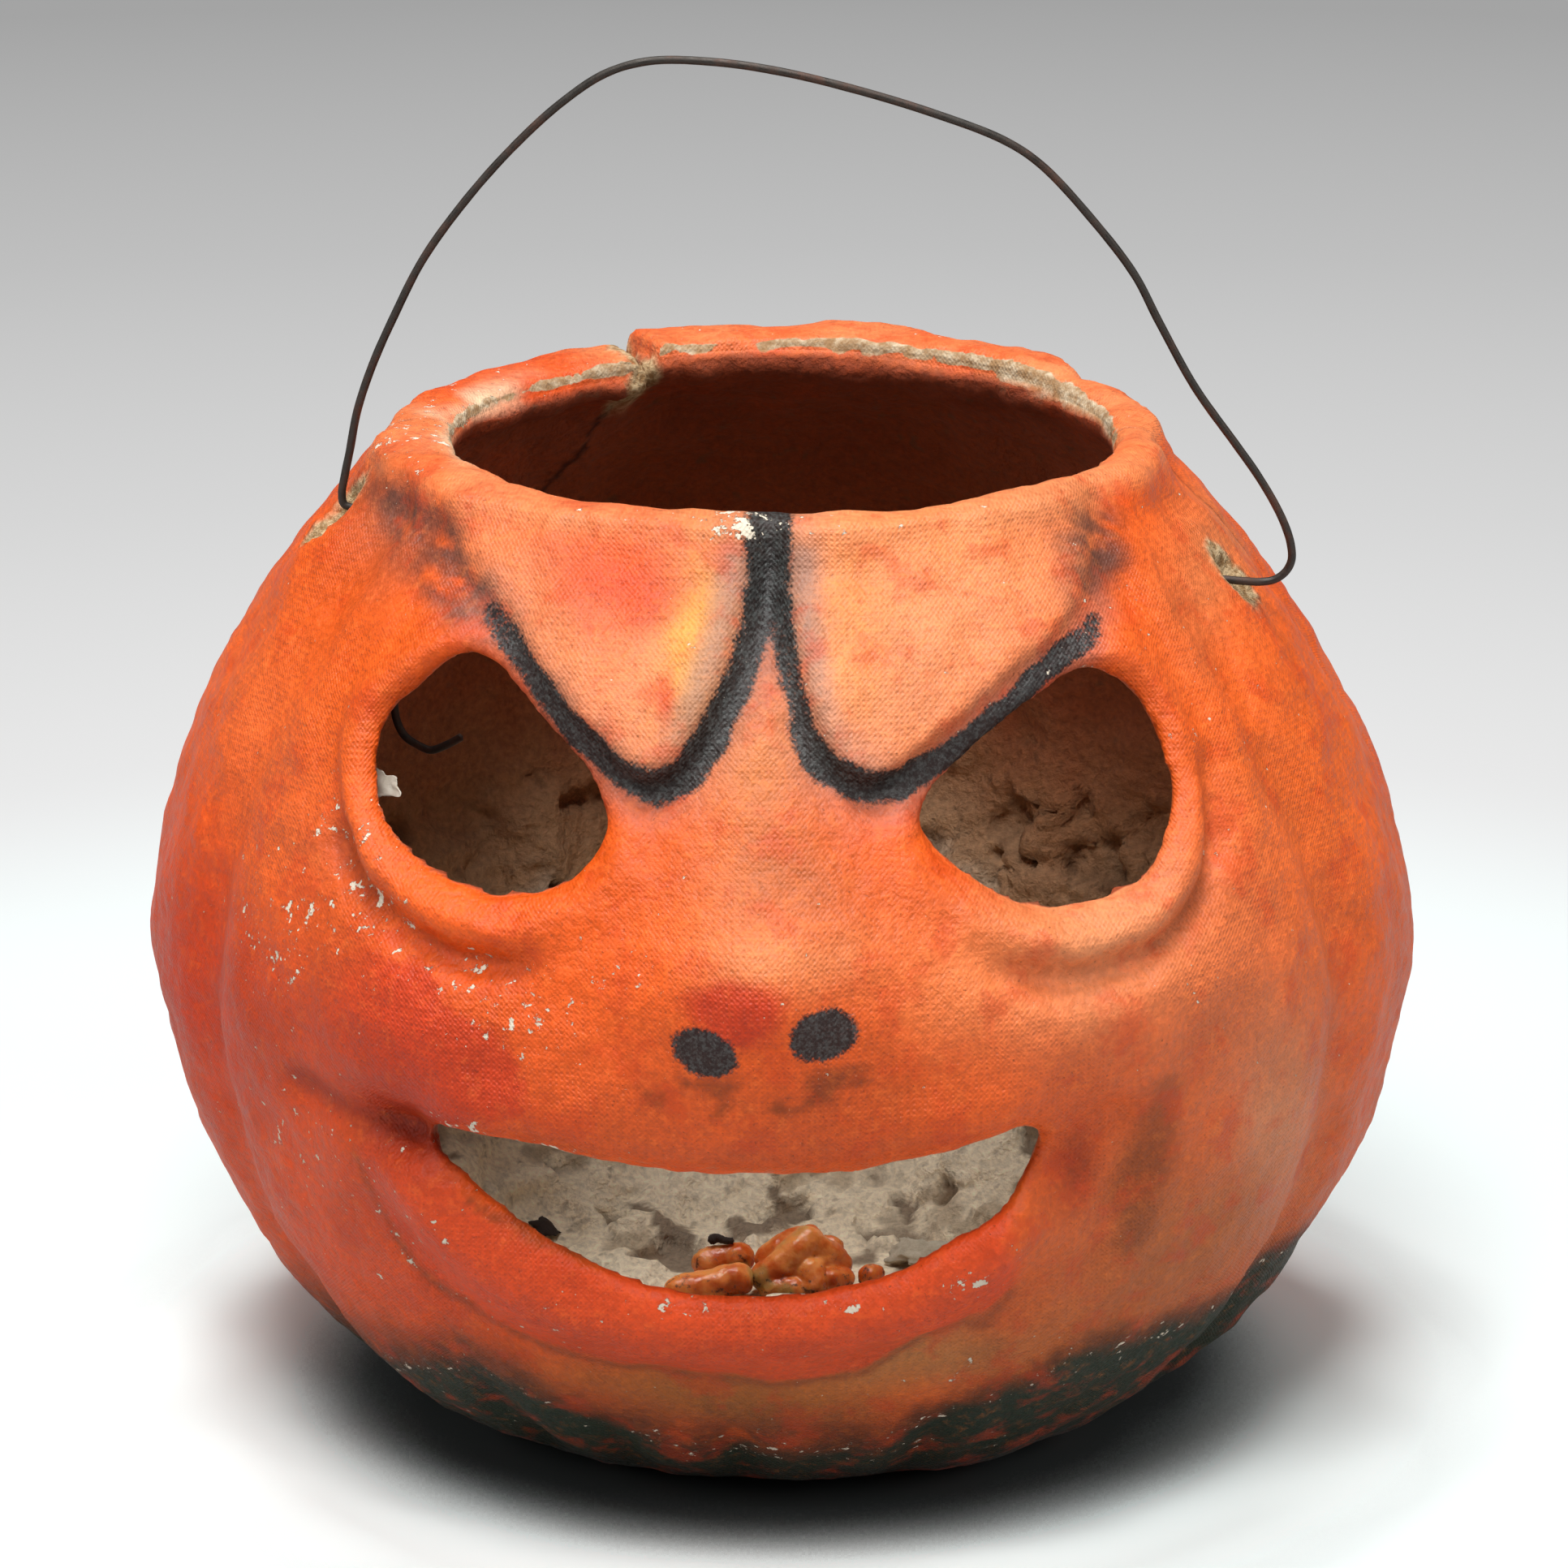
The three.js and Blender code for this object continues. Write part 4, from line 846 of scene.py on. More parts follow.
CHIP_SPOTS = [(-4, 147.3, 8, 2.2, 1), (-55, 148, 8, 6, 0.5), (-35, 88, 14, 8, 0.75), (-22, 92, 8, 6, 0.5),
              (-42, 70, 6, 3, 1), (-28, 68.5, 8, 1.6, 1), (29, 48, 5, 3, 1), (12, 45, 10, 1.5, 0.8),
              (-60, 104, 8, 10, 0.7), (-70, 88, 10, 12, 0.65), (0, 148, 40, 3, 0.4), (-20, 94, 10, 5, 0.6),
              (-56, 96, 14, 8, 0.7), (-50, 52, 16, 14, 0.5), (-66, 60, 12, 16, 0.5), (-14, 44, 26, 3, 0.6),
              (47, 128, 16, 14, 0.3), (64, 120, 14, 12, 0.3), (-35, 38, 20, 8, 0.35),
              (30, 30, 24, 6, 0.35), (60, 88, 6, 5, 0.4), (0, 13, 60, 6, 0.45)]


def mixed(base, colour, share):
    """Linear colours with a share of a hex colour mixed in."""
    return base + (np.array(linear(colour)[:3]) - base) * np.clip(share, 0, 1)[:, None]


def stroke(line, x, z, spread=1.7):
    """Strength of a soft stroke whose half width and strength change along it."""
    best = np.zeros_like(x)
    for (ax, az, aw, ak), (bx, bz, bw, bk) in zip(line[:-1], line[1:]):
        along = ((x - ax) * (bx - ax) + (z - az) * (bz - az)) / ((bx - ax) ** 2 + (bz - az) ** 2)
        t = np.clip(along, 0, 1)
        away = np.hypot(x - ax - t * (bx - ax), z - az - t * (bz - az))
        half = aw + (bw - aw) * t
        best = np.maximum(best, (ak + (bk - ak) * t) * ease(away, half * spread, half * 0.35))
    return best


def spot(x, z, mx, mz, wide, tall, turn=0):
    """Distance from the middle of a turned oval, as 1 at its edge."""
    c, s = math.cos(math.radians(turn)), math.sin(math.radians(turn))
    u, v = (x - mx) * c + (z - mz) * s, (z - mz) * c - (x - mx) * s
    return np.hypot(u / wide, v / tall)


def turned_from(azimuth, middle):
    """Degrees between azimuths and a middle one, either way round."""
    return np.abs((azimuth - middle + 180) % 360 - 180)


def paint_shell(mesh):
    """Writes the paint colours and the masks of the shell's surface as attributes."""
    points = coordinates(mesh)
    x, y, z = points.T
    azimuth, radius = around(points)
    depth = below_skin(points)
    front = ease(np.abs(azimuth), 112, 88)
    wander = np.stack([rough(points, 12, 30), rough(points, 12, 31)], axis=1) * 2.2
    px, pz = x + wander[:, 0], z + wander[:, 1]

    # Orange all over, with its patches, partly sprayed tones and partly painted highlight and shade, and the
    # brows in paler and redder tones
    colour = np.zeros((len(points), 3)) + linear(PAINT)[:3]
    colour = mixed(colour, BACK_PAINT, 1 - front)
    for hexed, mx, mz, wide, tall, share in PATCHES:
        colour = mixed(colour, hexed, front * share * swell(spot(px, pz, mx, mz, wide, tall), 1))
    brow = np.zeros_like(x)
    for line in BROWS:
        brow = np.maximum(brow, ease(-outward(line, x, z), -4.2, -1.2))
    brow *= front
    for hexed, mx, mz, wide, tall, share in BROW_PATCHES:
        colour = mixed(colour, hexed, brow * share * swell(spot(px, pz, mx, mz, wide, tall), 1))
    # Red on the lower lip, in the corner of the smile, on the left cheek and on the nose
    off_lip = distance_to(smooth_line(FOLDS[0][2], False, 30), px, pz)
    lip = ease(off_lip, 7.9, 7) * ease(px, 38, 34)
    colour = mixed(colour, LIP_RED, front * lip * 0.9)
    # A thin line of painted shade under the lip's lower edge
    lip_edge_shade = swell(off_lip - 8.3, 0.8) * ease(px, 38, 34) * (pz < 60)
    colour = mixed(colour, LIP_EDGE_SHADE_BROWN, front * lip_edge_shade * 0.7)
    corner = swell(spot(px, pz, -50, 70, 13, 8), 1) * (px < -30)
    colour = mixed(colour, LIP_RED, front * corner * 0.8)
    red_patch = ease(outward(RED_PATCH, x + 0.3 * wander[:, 0], z + 0.3 * wander[:, 1]), 0.4, -0.6)
    colour = mixed(colour, CHEEK_RED, front * red_patch * ease(px, -64, -50) * 0.85)
    colour = mixed(colour, NOSE_RED, front * 0.95 * ease(spot(px, pz, -2.2, 91.8, 7.5, 3.6), 1.35, 0.7))
    # A brown stroke down the groove to the right of the mouth
    colour = mixed(colour, RIGHT_GROOVE_BROWN, front * stroke(RIGHT_GROOVE_STROKE, px, pz))
    # Dark red in the creases, partly dust and partly painted shade
    crease = np.maximum(swell(spot(x, z, -49, 66, 8, 5.5), 1), 0.8 * swell(spot(x, z, 44, 62, 3.4, 7), 1))
    crease = np.maximum(crease, 0.7 * swell(distance_to(CHEEK_CREASE, x, z), 2.4))
    for line in EYES:
        away = outward(line, x, z) - 8.2 + 2.6 * ease(z, 101, 110)
        fold = swell(away, 1.6) * ease(z, 112, 104) * ease(np.abs(x), 25, 39)
        crease = np.maximum(crease, (0.34 + 0.3 * rough(points, 5, 48, 2)) * fold * np.where(x > 0, 0.5, 1))
    colour = mixed(colour, CREASE_DUST_AND_SHADE_RED, front * crease * 0.8)
    # Painted shade under the nose, broken into brown streaks
    under_nose_shade = stroke(UNDER_NOSE, px, pz)
    streaks = ease(rough(points * [0.35, 0.35, 1], 1.6, 33), -0.1, 0.5)
    colour = mixed(colour, FADE_AND_SHADE_BROWN, front * under_nose_shade * streaks * 1.2)

    # Green round the base, the brown fade above it, painted shade that darkens the foot, and a trace of the
    # seam
    streaky = rough(points * [1, 1, 0.3], 4, 34)
    edge = np.interp(azimuth, *zip(*GREEN_EDGE)) + 1.8 * rough(points * [1, 1, 0.2], 9, 35)
    edge += 0.8 * rough(points, 1.6, 45)
    rise = np.interp(azimuth, *zip(*BROWN_RISE))
    brown = ease(z, edge + rise + 3, edge + 1) * ease(streaky, -1.6, 0)
    colour = mixed(colour, FADE_AND_SHADE_BROWN, brown * 0.92)
    green = ease(z + 2 * streaky, edge + 2.4, edge - 2)
    colour = mixed(colour, BASE_GREEN, green * 0.97)
    foot = ease(z, 11, 3) * front
    colour = mixed(colour, FOOT_SHADE_BLACK, foot * 0.7)
    seam_mark = swell(y - SEAM_Y, 0.7) * (depth < 2)
    colour *= (1 - 0.35 * seam_mark)[:, None]

    # Soot and haze beside the lines, then the black lines and the nostrils as a mask
    drag = rough(np.stack([x * 0.6 + z * 1.9, z * 0.25 - x * 0.1, y], axis=1), 4, 52)
    for line in SMUDGES:
        soot = stroke(line, px, pz, 2.2) * ease(drag, -1.1, 0.4)
        colour = mixed(colour, SMUDGE_GREY, front * soot)
    for line in HALO_LINES:
        colour = mixed(colour, HALO_GREY, front * 0.6 * stroke(line, x, z, 2.2))
    for line in BLACK_LINES:
        colour = mixed(colour, OVERSPRAY_GREY, front * 0.55 * stroke(line, px, pz, 3.2))
    black = np.zeros_like(x)
    fuzzy_x, fuzzy_z = x + 0.45 * rough(points, 3, 36), z + 0.45 * rough(points, 3, 37)
    for line in BLACK_LINES:
        black = np.maximum(black, stroke(line, fuzzy_x, fuzzy_z))
    for nostril in NOSTRILS:
        black = np.maximum(black, 0.93 * ease(spot(fuzzy_x, fuzzy_z, *nostril), 1.35, 0.7))
    black *= front

    # Where the paint chips off most, and the rosy and cream tones on the ledge of the rim
    chips = np.full(len(points), 0.12)
    chips = np.maximum(chips, 0.55 * swell(z - edge, 3) * (np.abs(azimuth) < 80))
    for mx, mz, wide, tall, share in CHIP_SPOTS:
        chips = np.maximum(chips, front * share * swell(spot(x, z, mx, mz, wide, tall), 1))
    ledge = ease(z, 144, 147) * (radius < 62)
    left_rim = ease(turned_from(azimuth, -95), 45, 15)
    chips = np.maximum(chips, ledge * (0.2 + 0.3 * left_rim))
    rosy = ease(turned_from(azimuth, -124), 12, 26)
    colour = mixed(colour, LEDGE_ROSE, ledge * rosy * (0.5 + 0.3 * rough(points, 10, 49, 2)))
    by_lip = np.hypot(x, y) - rim_inner(azimuth)
    creamy = ledge * left_rim * swell(by_lip, 5.5) * ease(rough(points, 9, 50, 2), -0.5, 0.3)
    colour = mixed(colour, LEDGE_CREAM, creamy)

    # The lip of the mouth, worn down to the pulp at the sides and the back
    lip_side = np.maximum(ease(np.abs(azimuth), 60, 105), 0.15)
    below_top = rim_top(azimuth) - z
    right_end = ease(turned_from(azimuth, 100), 42, 22)
    worn = swell(by_lip, 0.75 + 0.3 * rough(points, 9, 46, 2) + 0.5 * right_end)
    worn *= ease(below_top, 2.4 + 2 * right_end, 1.2 + 2 * right_end) * lip_side
    worn *= 1 - 0.4 * ease(rough(points, 8, 51, 2), 0.3, 0.7)
    worn = np.clip(worn + 0.4 * rough(points, 2.4, 38, 3) * swell(by_lip, 2), 0, 1)

    # Torn pulp round the holes and beside the crack, and the hairline that runs down from it
    torn = np.zeros_like(x)
    for mx_az, mz, wide, long, deep, up_slope in HOLES:
        middle, sideways, slope, outwards = hole_frame(mx_az, mz)
        away = points - np.array(middle + slope * up_slope)
        size = np.sqrt((away @ np.array(sideways) / wide) ** 2 + (away @ np.array(slope) / long) ** 2
                       + (away @ np.array(outwards) / (deep + 4)) ** 2)
        tear = ease(size + 0.25 * rough(points, 2.5, 39), 1.35, 1.0)
        torn = np.maximum(torn, tear * ease(depth, -0.1, 0.35))
    crack_off = np.radians((azimuth - CRACK_AZIMUTH + 180) % 360 - 180) * radius
    by_crack = ease(np.abs(crack_off + 0.6) + 1.4 * rough(points, 4, 40), 3.2, 1.6) * ease(z, 136, 142)
    torn = np.maximum(torn, by_crack * (radius < 60))
    hairline = stroke(CRACK_PATH, crack_off + 0.6 * rough(points, 2, 47), z)

    # Bare pulp inside, by height, darker up the wall partly by painted light and shade, with its rusty,
    # stained and grimy places and painted shade in its hollows
    inner = ease(depth, 2.9, 3.4)
    heights = [h for h, _ in INSIDE]
    bare = np.stack([np.interp(z + 6 * rough(points, 14, 41), heights, [linear(c)[n] for _, c in INSIDE])
                     for n in range(3)], axis=1)
    blotch = rough(points, 16, 42)
    bare = mixed(bare, INNER_RUST, 0.55 * ease(blotch, 0.1, 0.7) * ease(z, 60, 95))
    # Painted shade in the hollows, where the laid pulp stands lowest
    thick = hand_laid(points)
    bare = mixed(bare, HOLLOW_SHADE_BROWN, 0.75 * ease(thick, 1.2, -0.2) * ease(z, 66, 50))
    bare = mixed(bare, STAIN_TAN, 0.5 * ease(rough(points, 8, 44, 4), 0.5, 0.8) * ease(z, 70, 45))
    bare = mixed(bare, WAX_GRIME, 0.8 * ease(np.hypot((x - 1) / 13, (y - 11) / 4), 1.3, 0.6) * (z < 12))
    colour = colour * (1 - inner)[:, None] + bare * inner[:, None]
    colour *= (1 - 0.8 * hairline)[:, None]
    black *= 1 - inner

    # All of it goes on the mesh, where the material reads it
    rgba = np.concatenate([np.clip(colour, 0, 1), np.ones((len(points), 1))], axis=1)
    made = mesh.attributes.new("paint", "FLOAT_COLOR", "POINT")
    made.data.foreach_set("color", rgba.astype(np.float32).ravel())
    side = np.where(y < SEAM_Y, azimuth, azimuth % 360 - 180)
    warp = np.radians(side) * np.maximum(radius, 20)
    masks = {"black": black, "chips": chips, "worn": worn, "torn": torn, "inner": inner, "warp": warp,
             "brow_cloth": np.maximum(brow, swell(spot(x, z, 0, 95, 30, 22), 1) * front)}
    for name, values in masks.items():
        made = mesh.attributes.new(name, "FLOAT", "POINT")
        made.data.foreach_set("value", values.astype(np.float32))


def finish_piece(made, material, body, slot, *nodes):
    """Scales a piece from millimetres, gives it its material and hands it to the frame."""
    made.data.transform(Matrix.Scale(MM, 4))
    made.data.materials.clear()
    made.data.materials.append(material)
    made.data.polygons.foreach_set("use_smooth", [True] * len(made.data.polygons))
    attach(made, body)
    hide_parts(*nodes)


# Painted pulp: pressed paper pulp with thin orange paint. It shows the weave of coarse cloth, paint that is
# darker in the weave's valleys and flakes to a cream ground, rubbed black lines, and bare pulp inside.
# The spray's clouds are 8 to 20 mm across, chips and lumps of pulp 2 to 3 mm and their grain about 1 mm. The
# threads lie 0.73 and 0.8 mm apart, and specks are 0.4 to 0.6 mm, or 3 to 5 pixels of the photograph.
WEFT_PITCH = 0.73
WARP_PITCH = 0.8
PULP_RELIEF = 0.46
pulp, tree, place, grain = new_material(
    "painted_pulp", fine=(0.9, 5, 0.6), broad=(0.07, 4, 0.5), loose=(0.12, 2, 0.5), press=(0.05, 3, 0.5),
    red_clouds=(0.13, 5, 0.65), pale_clouds=(0.45, 5, 0.7), specks=(1.7, 2, 0.5), flecks=(2.6, 2, 0.5),
    rub=(1.6, 4, 0.7), charcoal=(1.3, 5, 0.75), flaking=(0.42, 6, 0.62), nicks=(1.0, 5, 0.6),
    lip=(0.4, 6, 0.7), dirt=(0.35, 5, 0.5), pits=(0.4, 3, 0.5), lumps=(0.45, 6, 0.6))
paint = add(tree, "Attribute", out="Color", attribute_name="paint")
mask = {name: add(tree, "Attribute", out="Fac", attribute_name=name)
        for name in ("black", "chips", "worn", "torn", "inner", "warp", "brow_cloth")}
inner, torn = mask["inner"], mask["torn"]

# Weave of the cloth: weft threads lie level, and warp threads run up between them
height = add(tree, "SeparateXYZ", [place], "Z")
loose = add(tree, "Math", [grain["loose"], 9], operation="MULTIPLY")
weft = add(tree, "Math", [height, 1000 * 2 * math.pi / WEFT_PITCH, loose], operation="MULTIPLY_ADD")
weft = add(tree, "Math", [weft], operation="SINE")
warp = add(tree, "Math", [mask["warp"], 2 * math.pi / WARP_PITCH, loose], operation="MULTIPLY_ADD")
warp = add(tree, "Math", [warp], operation="SINE")
crossing = add(tree, "Math", [weft, warp], operation="MULTIPLY")
crossing = add(tree, "Math", [crossing, 0.75], operation="MULTIPLY")
weave = add(tree, "Math", [weft, 0.3, crossing], operation="MULTIPLY_ADD")
pressed = add(tree, "MapRange", [grain["press"], 0.35, 0.62, 0.25, 1], **SMOOTH)
pressed = add(tree, "Math", [pressed, mask["brow_cloth"]], operation="MAXIMUM")
weave = add(tree, "Math", [weave, pressed], operation="MULTIPLY")

# Orange paint: mottled by the spray, then clouded, darker in the valleys, dusty and flecked
mottle = add(tree, "MapRange", [grain["broad"], 0.3, 0.7, 0.9, 1.08], **SMOOTH)
spray = add(tree, "MapRange", [grain["fine"], 0.3, 0.72, 0.86, 1.12], **SMOOTH)
mottle = add(tree, "Math", [mottle, spray], operation="MULTIPLY")
mottle = add(tree, "CombineColor", [mottle] * 3)
colour = add(tree, "Mix", {0: 1, 6: paint, 7: mottle}, blend_type="MULTIPLY", **RGBA)
PAINT_LAYERS = [
    (grain["red_clouds"], 0.5, 0.66, 0, 0.45, "#d2400f"),
    (grain["pale_clouds"], 0.52, 0.7, 0, 0.16, "#f58a3c"),
    (weave, -0.7, 0.1, 0.12, 0, "#8c3413"),
    (grain["specks"], 0.66, 0.78, 0, 0.5, "#5a2410"),
    (grain["flecks"], 0.7, 0.8, 0, 0.35, "#f7b48a"),
]
for value, *curve, hexed in PAINT_LAYERS:
    share = add(tree, "MapRange", [value, *curve], **SMOOTH)
    colour = add(tree, "Mix", {0: share, 6: colour, 7: linear(hexed)}, **RGBA)

# Black lines: rubbed thin on the tops of the grain and the threads
rub = add(tree, "Math", [weave, 0.09, grain["rub"]], operation="MULTIPLY_ADD")
rub = add(tree, "Math", [rub, 1.05], operation="MULTIPLY")
cover = add(tree, "Math", [mask["black"], rub], operation="SUBTRACT")
cover = add(tree, "MapRange", [cover, -0.2, 0.2, 0, 0.97], **SMOOTH)
lined = add(tree, "MapRange", [mask["black"], 0, 0.3], **SMOOTH)
cover = add(tree, "Math", [cover, lined], operation="MULTIPLY")
charcoal = add(tree, "Math", [weave, 0.05, grain["charcoal"]], operation="MULTIPLY_ADD")
charcoal = add(tree, "MapRange", [charcoal, 0.42, 0.66], **SMOOTH)
charcoal = add(tree, "Mix", {0: charcoal, 6: linear("#0e1314"), 7: linear("#444b4a")}, **RGBA)

# Chips down to the cream ground, and the lip of the mouth worn to bare pulp
chip = add(tree, "Math", [mask["chips"], 0.22, grain["flaking"]], operation="MULTIPLY_ADD")
chip = add(tree, "MapRange", [chip, 0.735, 0.75], **SMOOTH)
nick = add(tree, "Math", [mask["chips"], 0.16, grain["nicks"]], operation="MULTIPLY_ADD")
nick = add(tree, "MapRange", [nick, 0.745, 0.76], **SMOOTH)
chip = add(tree, "Math", [chip, nick], operation="MAXIMUM")
worn = add(tree, "Math", [grain["fine"], 0.3, mask["worn"]], operation="MULTIPLY_ADD")
worn = add(tree, "MapRange", [worn, 0.5, 0.62], **SMOOTH)
lip = add(tree, "MapRange", [grain["lip"], 0.38, 0.74], **SMOOTH)
lip = add(tree, "Mix", {0: lip, 6: linear("#a8825a"), 7: linear("#e6d3b4")}, **RGBA)

# Bare pulp: inside it is cream where clean and darker above, partly stain and partly painted shade, and torn
# edges show pale fibres
stain = add(tree, "MapRange", [grain["fine"], 0.25, 0.75, 0.72, 1.15], **SMOOTH)
stain = add(tree, "CombineColor", [stain] * 3)
bare = add(tree, "Mix", {0: 1, 6: paint, 7: stain}, blend_type="MULTIPLY", **RGBA)
dirt = add(tree, "MapRange", [grain["dirt"], 0.6, 0.72, 0, 0.4], **SMOOTH)
bare = add(tree, "Mix", {0: dirt, 6: bare, 7: linear("#6b5039")}, **RGBA)
fibres = add(tree, "MapRange", [grain["fine"], 0.35, 0.65], **SMOOTH)
fibres = add(tree, "Mix", {0: fibres, 6: linear("#9a7448"), 7: linear("#dcbf94")}, **RGBA)
ground = linear("#e9dcc6")
for share, over in ((cover, charcoal), (chip, ground), (worn, lip), (inner, bare), (torn, fibres)):
    colour = add(tree, "Mix", {0: share, 6: colour, 7: over}, **RGBA)

# Gloss and relief: the paint has a low sheen and shows threads and pits, and bare pulp is matt and lumpy
unpainted = inner
for share in (torn, worn, chip):
    unpainted = add(tree, "Math", [unpainted, share], operation="MAXIMUM")
sheen = add(tree, "MapRange", [grain["fine"], 0.3, 0.7, 0.33, 0.55], **SMOOTH)
roughness = add(tree, "Math", [unpainted, 0.5, sheen], operation="MULTIPLY_ADD")
pits = add(tree, "Math", [grain["fine"], grain["pits"]], operation="ADD")
pits = add(tree, "Math", [pits, 0.8], operation="MULTIPLY")
painted = add(tree, "Math", [weave, 0.12, pits], operation="MULTIPLY_ADD")
painted = add(tree, "Math", [chip, -0.8, painted], operation="MULTIPLY_ADD")
lumps = add(tree, "Math", [grain["lumps"], 4.5], operation="MULTIPLY")
uncovered = add(tree, "Math", [inner, torn], operation="MAXIMUM")
surface = add(tree, "Mix", {0: uncovered, 2: painted, 3: lumps})
bump = add(tree, "Bump", {"Strength": 1, "Distance": PULP_RELIEF * MM, "Height": surface})
shader = add(tree, "BsdfPrincipled", {"Base Color": colour, "Roughness": roughness, "Normal": bump,
                                      "Specular IOR Level": 0.34})
add(tree, "OutputMaterial", {"Surface": shader})

for half, node in ((face_half, "face_half"), (back_half, "back_half")):
    paint_shell(half.data)
    half.name = f"{node}_pulp"
    finish_piece(half, pulp, "shell", "painted_pulp", node)


# Seam strips: two bands of the same paper pasted inside over the side seams, torn from a sheet by hand,
# so their edges thin out into fibres. Each is a ribbon of points laid on the inside of the wall.
STRIP_HEIGHTS = (32, 128)
STRIP_HALF_WIDTH = 11.5
STRIP_LIFT = 0.35
STRIP_THICKNESS = 0.9
TORN_THICKNESS = 0.2


def wall_place(azimuth, z, depth):
    """Points at a depth below the outer skin of the wall."""
    out, up = profile_normal(np.clip(z, 0, BODY_HEIGHT - CORNER_DROP), azimuth)
    radius = skin(z, azimuth) - depth * out
    z = z - depth * up
    angle = np.radians(azimuth)
    return np.stack([radius * np.sin(angle) + lean(z), -radius * np.cos(angle), z], axis=-1)


def sheet_object(name, upper, lower):
    """A closed thin sheet between two grids of points."""
    rows, columns = upper.shape[:2]
    bm = bmesh.new()
    top = [[bm.verts.new(p) for p in row] for row in upper]
    low = [[bm.verts.new(p) for p in row] for row in lower]
    for i in range(rows - 1):
        for j in range(columns - 1):
            bm.faces.new((top[i][j], top[i][j + 1], top[i + 1][j + 1], top[i + 1][j]))
            bm.faces.new((low[i][j], low[i + 1][j], low[i + 1][j + 1], low[i][j + 1]))
    ring = [(0, j) for j in range(columns)] + [(i, columns - 1) for i in range(1, rows)]
    ring += [(rows - 1, j) for j in range(columns - 2, -1, -1)] + [(i, 0) for i in range(rows - 2, 0, -1)]
    for (i, j), (k, m) in zip(ring, ring[1:] + ring[:1]):
        bm.faces.new((top[i][j], low[i][j], low[k][m], top[k][m]))
    bmesh.ops.recalc_face_normals(bm, faces=bm.faces)
    return solid_object(name, bm)


# Pasted strip pulp: the same pulp laid thin, matt, with clots of fibre of 2 mm, cream low down and brown
# above, partly soot and partly painted shade, in clouds of about 12 mm
strip_paper, tree, place, grain = new_material("pasted_strip_pulp", soot=(0.08, 4, 0.5),
                                               fibres=(0.5, 6, 0.65))
height = add(tree, "SeparateXYZ", [place], "Z")
soot_and_shade = add(tree, "Math", [grain["soot"], 0.03, height], operation="MULTIPLY_ADD")
soot_and_shade = add(tree, "MapRange", [soot_and_shade, 0.06, 0.1], **SMOOTH)
clean = add(tree, "Mix", {0: grain["fibres"], 6: linear("#8e7f69"), 7: linear("#cfc2ab")}, **RGBA)
browned = add(tree, "Mix", {0: grain["fibres"], 6: linear("#4c2416"), 7: linear("#7e452c")}, **RGBA)
colour = add(tree, "Mix", {0: soot_and_shade, 6: clean, 7: browned}, **RGBA)
bump = add(tree, "Bump", {"Distance": 0.5 * MM, "Height": grain["fibres"]})
shader = add(tree, "BsdfPrincipled", {"Base Color": colour, "Roughness": 0.92, "Normal": bump})
add(tree, "OutputMaterial", {"Surface": shader})

for side, azimuth, seed in (("right", 92, 60), ("left", -92, 70)):
    rows = np.linspace(*STRIP_HEIGHTS, 110)
    columns = np.linspace(-1, 1, 29)
    columns, rows = np.meshgrid(columns, rows)
    flat = np.stack([columns * 0 + seed, columns * STRIP_HALF_WIDTH, rows], axis=-1).reshape(-1, 3)
    ragged = rough(flat, 9, seed, 4).reshape(rows.shape)
    along_edge = rough(flat * [1, 0, 1] + [0, 40 * (seed % 7), 0], 12, seed + 1, 4).reshape(rows.shape)
    across = columns * (STRIP_HALF_WIDTH * (1 + 0.12 * along_edge))
    radius = skin(rows, np.full_like(rows, float(azimuth)))
    turned = azimuth + np.degrees(across / radius)
    end = ease(np.minimum(rows - STRIP_HEIGHTS[0], STRIP_HEIGHTS[1] - rows), 0, 4)
    thick = TORN_THICKNESS + (STRIP_THICKNESS - TORN_THICKNESS) * ease(1 - np.abs(columns), 0, 0.3) * end
    lift = WALL + STRIP_LIFT + 0.25 * (ragged + 1)
    upper = wall_place(turned, rows, lift + thick)
    lower = wall_place(turned, rows, lift)
    strip = sheet_object(f"seam_strip_{side}_paper", upper, lower)
    finish_piece(strip, strip_paper, "shell", "raw_pulp", f"seam_strip_{side}")


# Bail: one length of soft iron wire, bent by hand and hooked through a hole in each side. It is swept as a
# round tube along its bends, a little uneven and rusted dark.
WIRE_RADIUS = 0.6
LEFT_LEG = [(18.9, -33.6), (16.6, -35.1), (14.5, -36), (12.6, -35.4), (10.6, -34.2), (9.2, -31.8),
            (8.6, -28), (8.2, -20), (8, -10), (7.9, -3.2), (7.4, -1.1), (6, -0.1), (4, 0), (1.2, 0)]
BOW_FROM_LEFT = [(-0.3, 0.5), (-0.7, 2), (-0.4, 5), (0.1, 8.5), (0.9, 14.7), (2.7, 21.6), (5.5, 29.3),
                 (9.2, 38), (14.8, 47.1), (21.1, 55.4), (27.7, 62.5), (33.8, 67.3), (40, 69.6), (49.3, 70.2),
                 (58.6, 69.6)]
BOW_FROM_RIGHT = [(-62.2, 68), (-50.3, 65.4), (-39.6, 62.2), (-34.1, 59.1), (-25.9, 51.5), (-19.4, 44.2),
                  (-15.3, 37.6), (-9.2, 28.3), (-2.6, 20.4), (0.8, 16.3), (3.8, 12.1), (5.7, 8.8), (6.8, 6),
                  (7.1, 3.7), (6.4, 1.9), (4.9, 0.6), (3, 0.1), (1, 0)]
RIGHT_LEG = [(-2, 0), (-5.4, 0), (-7, -0.3), (-7.9, -1.5), (-8.1, -4), (-8, -9)]


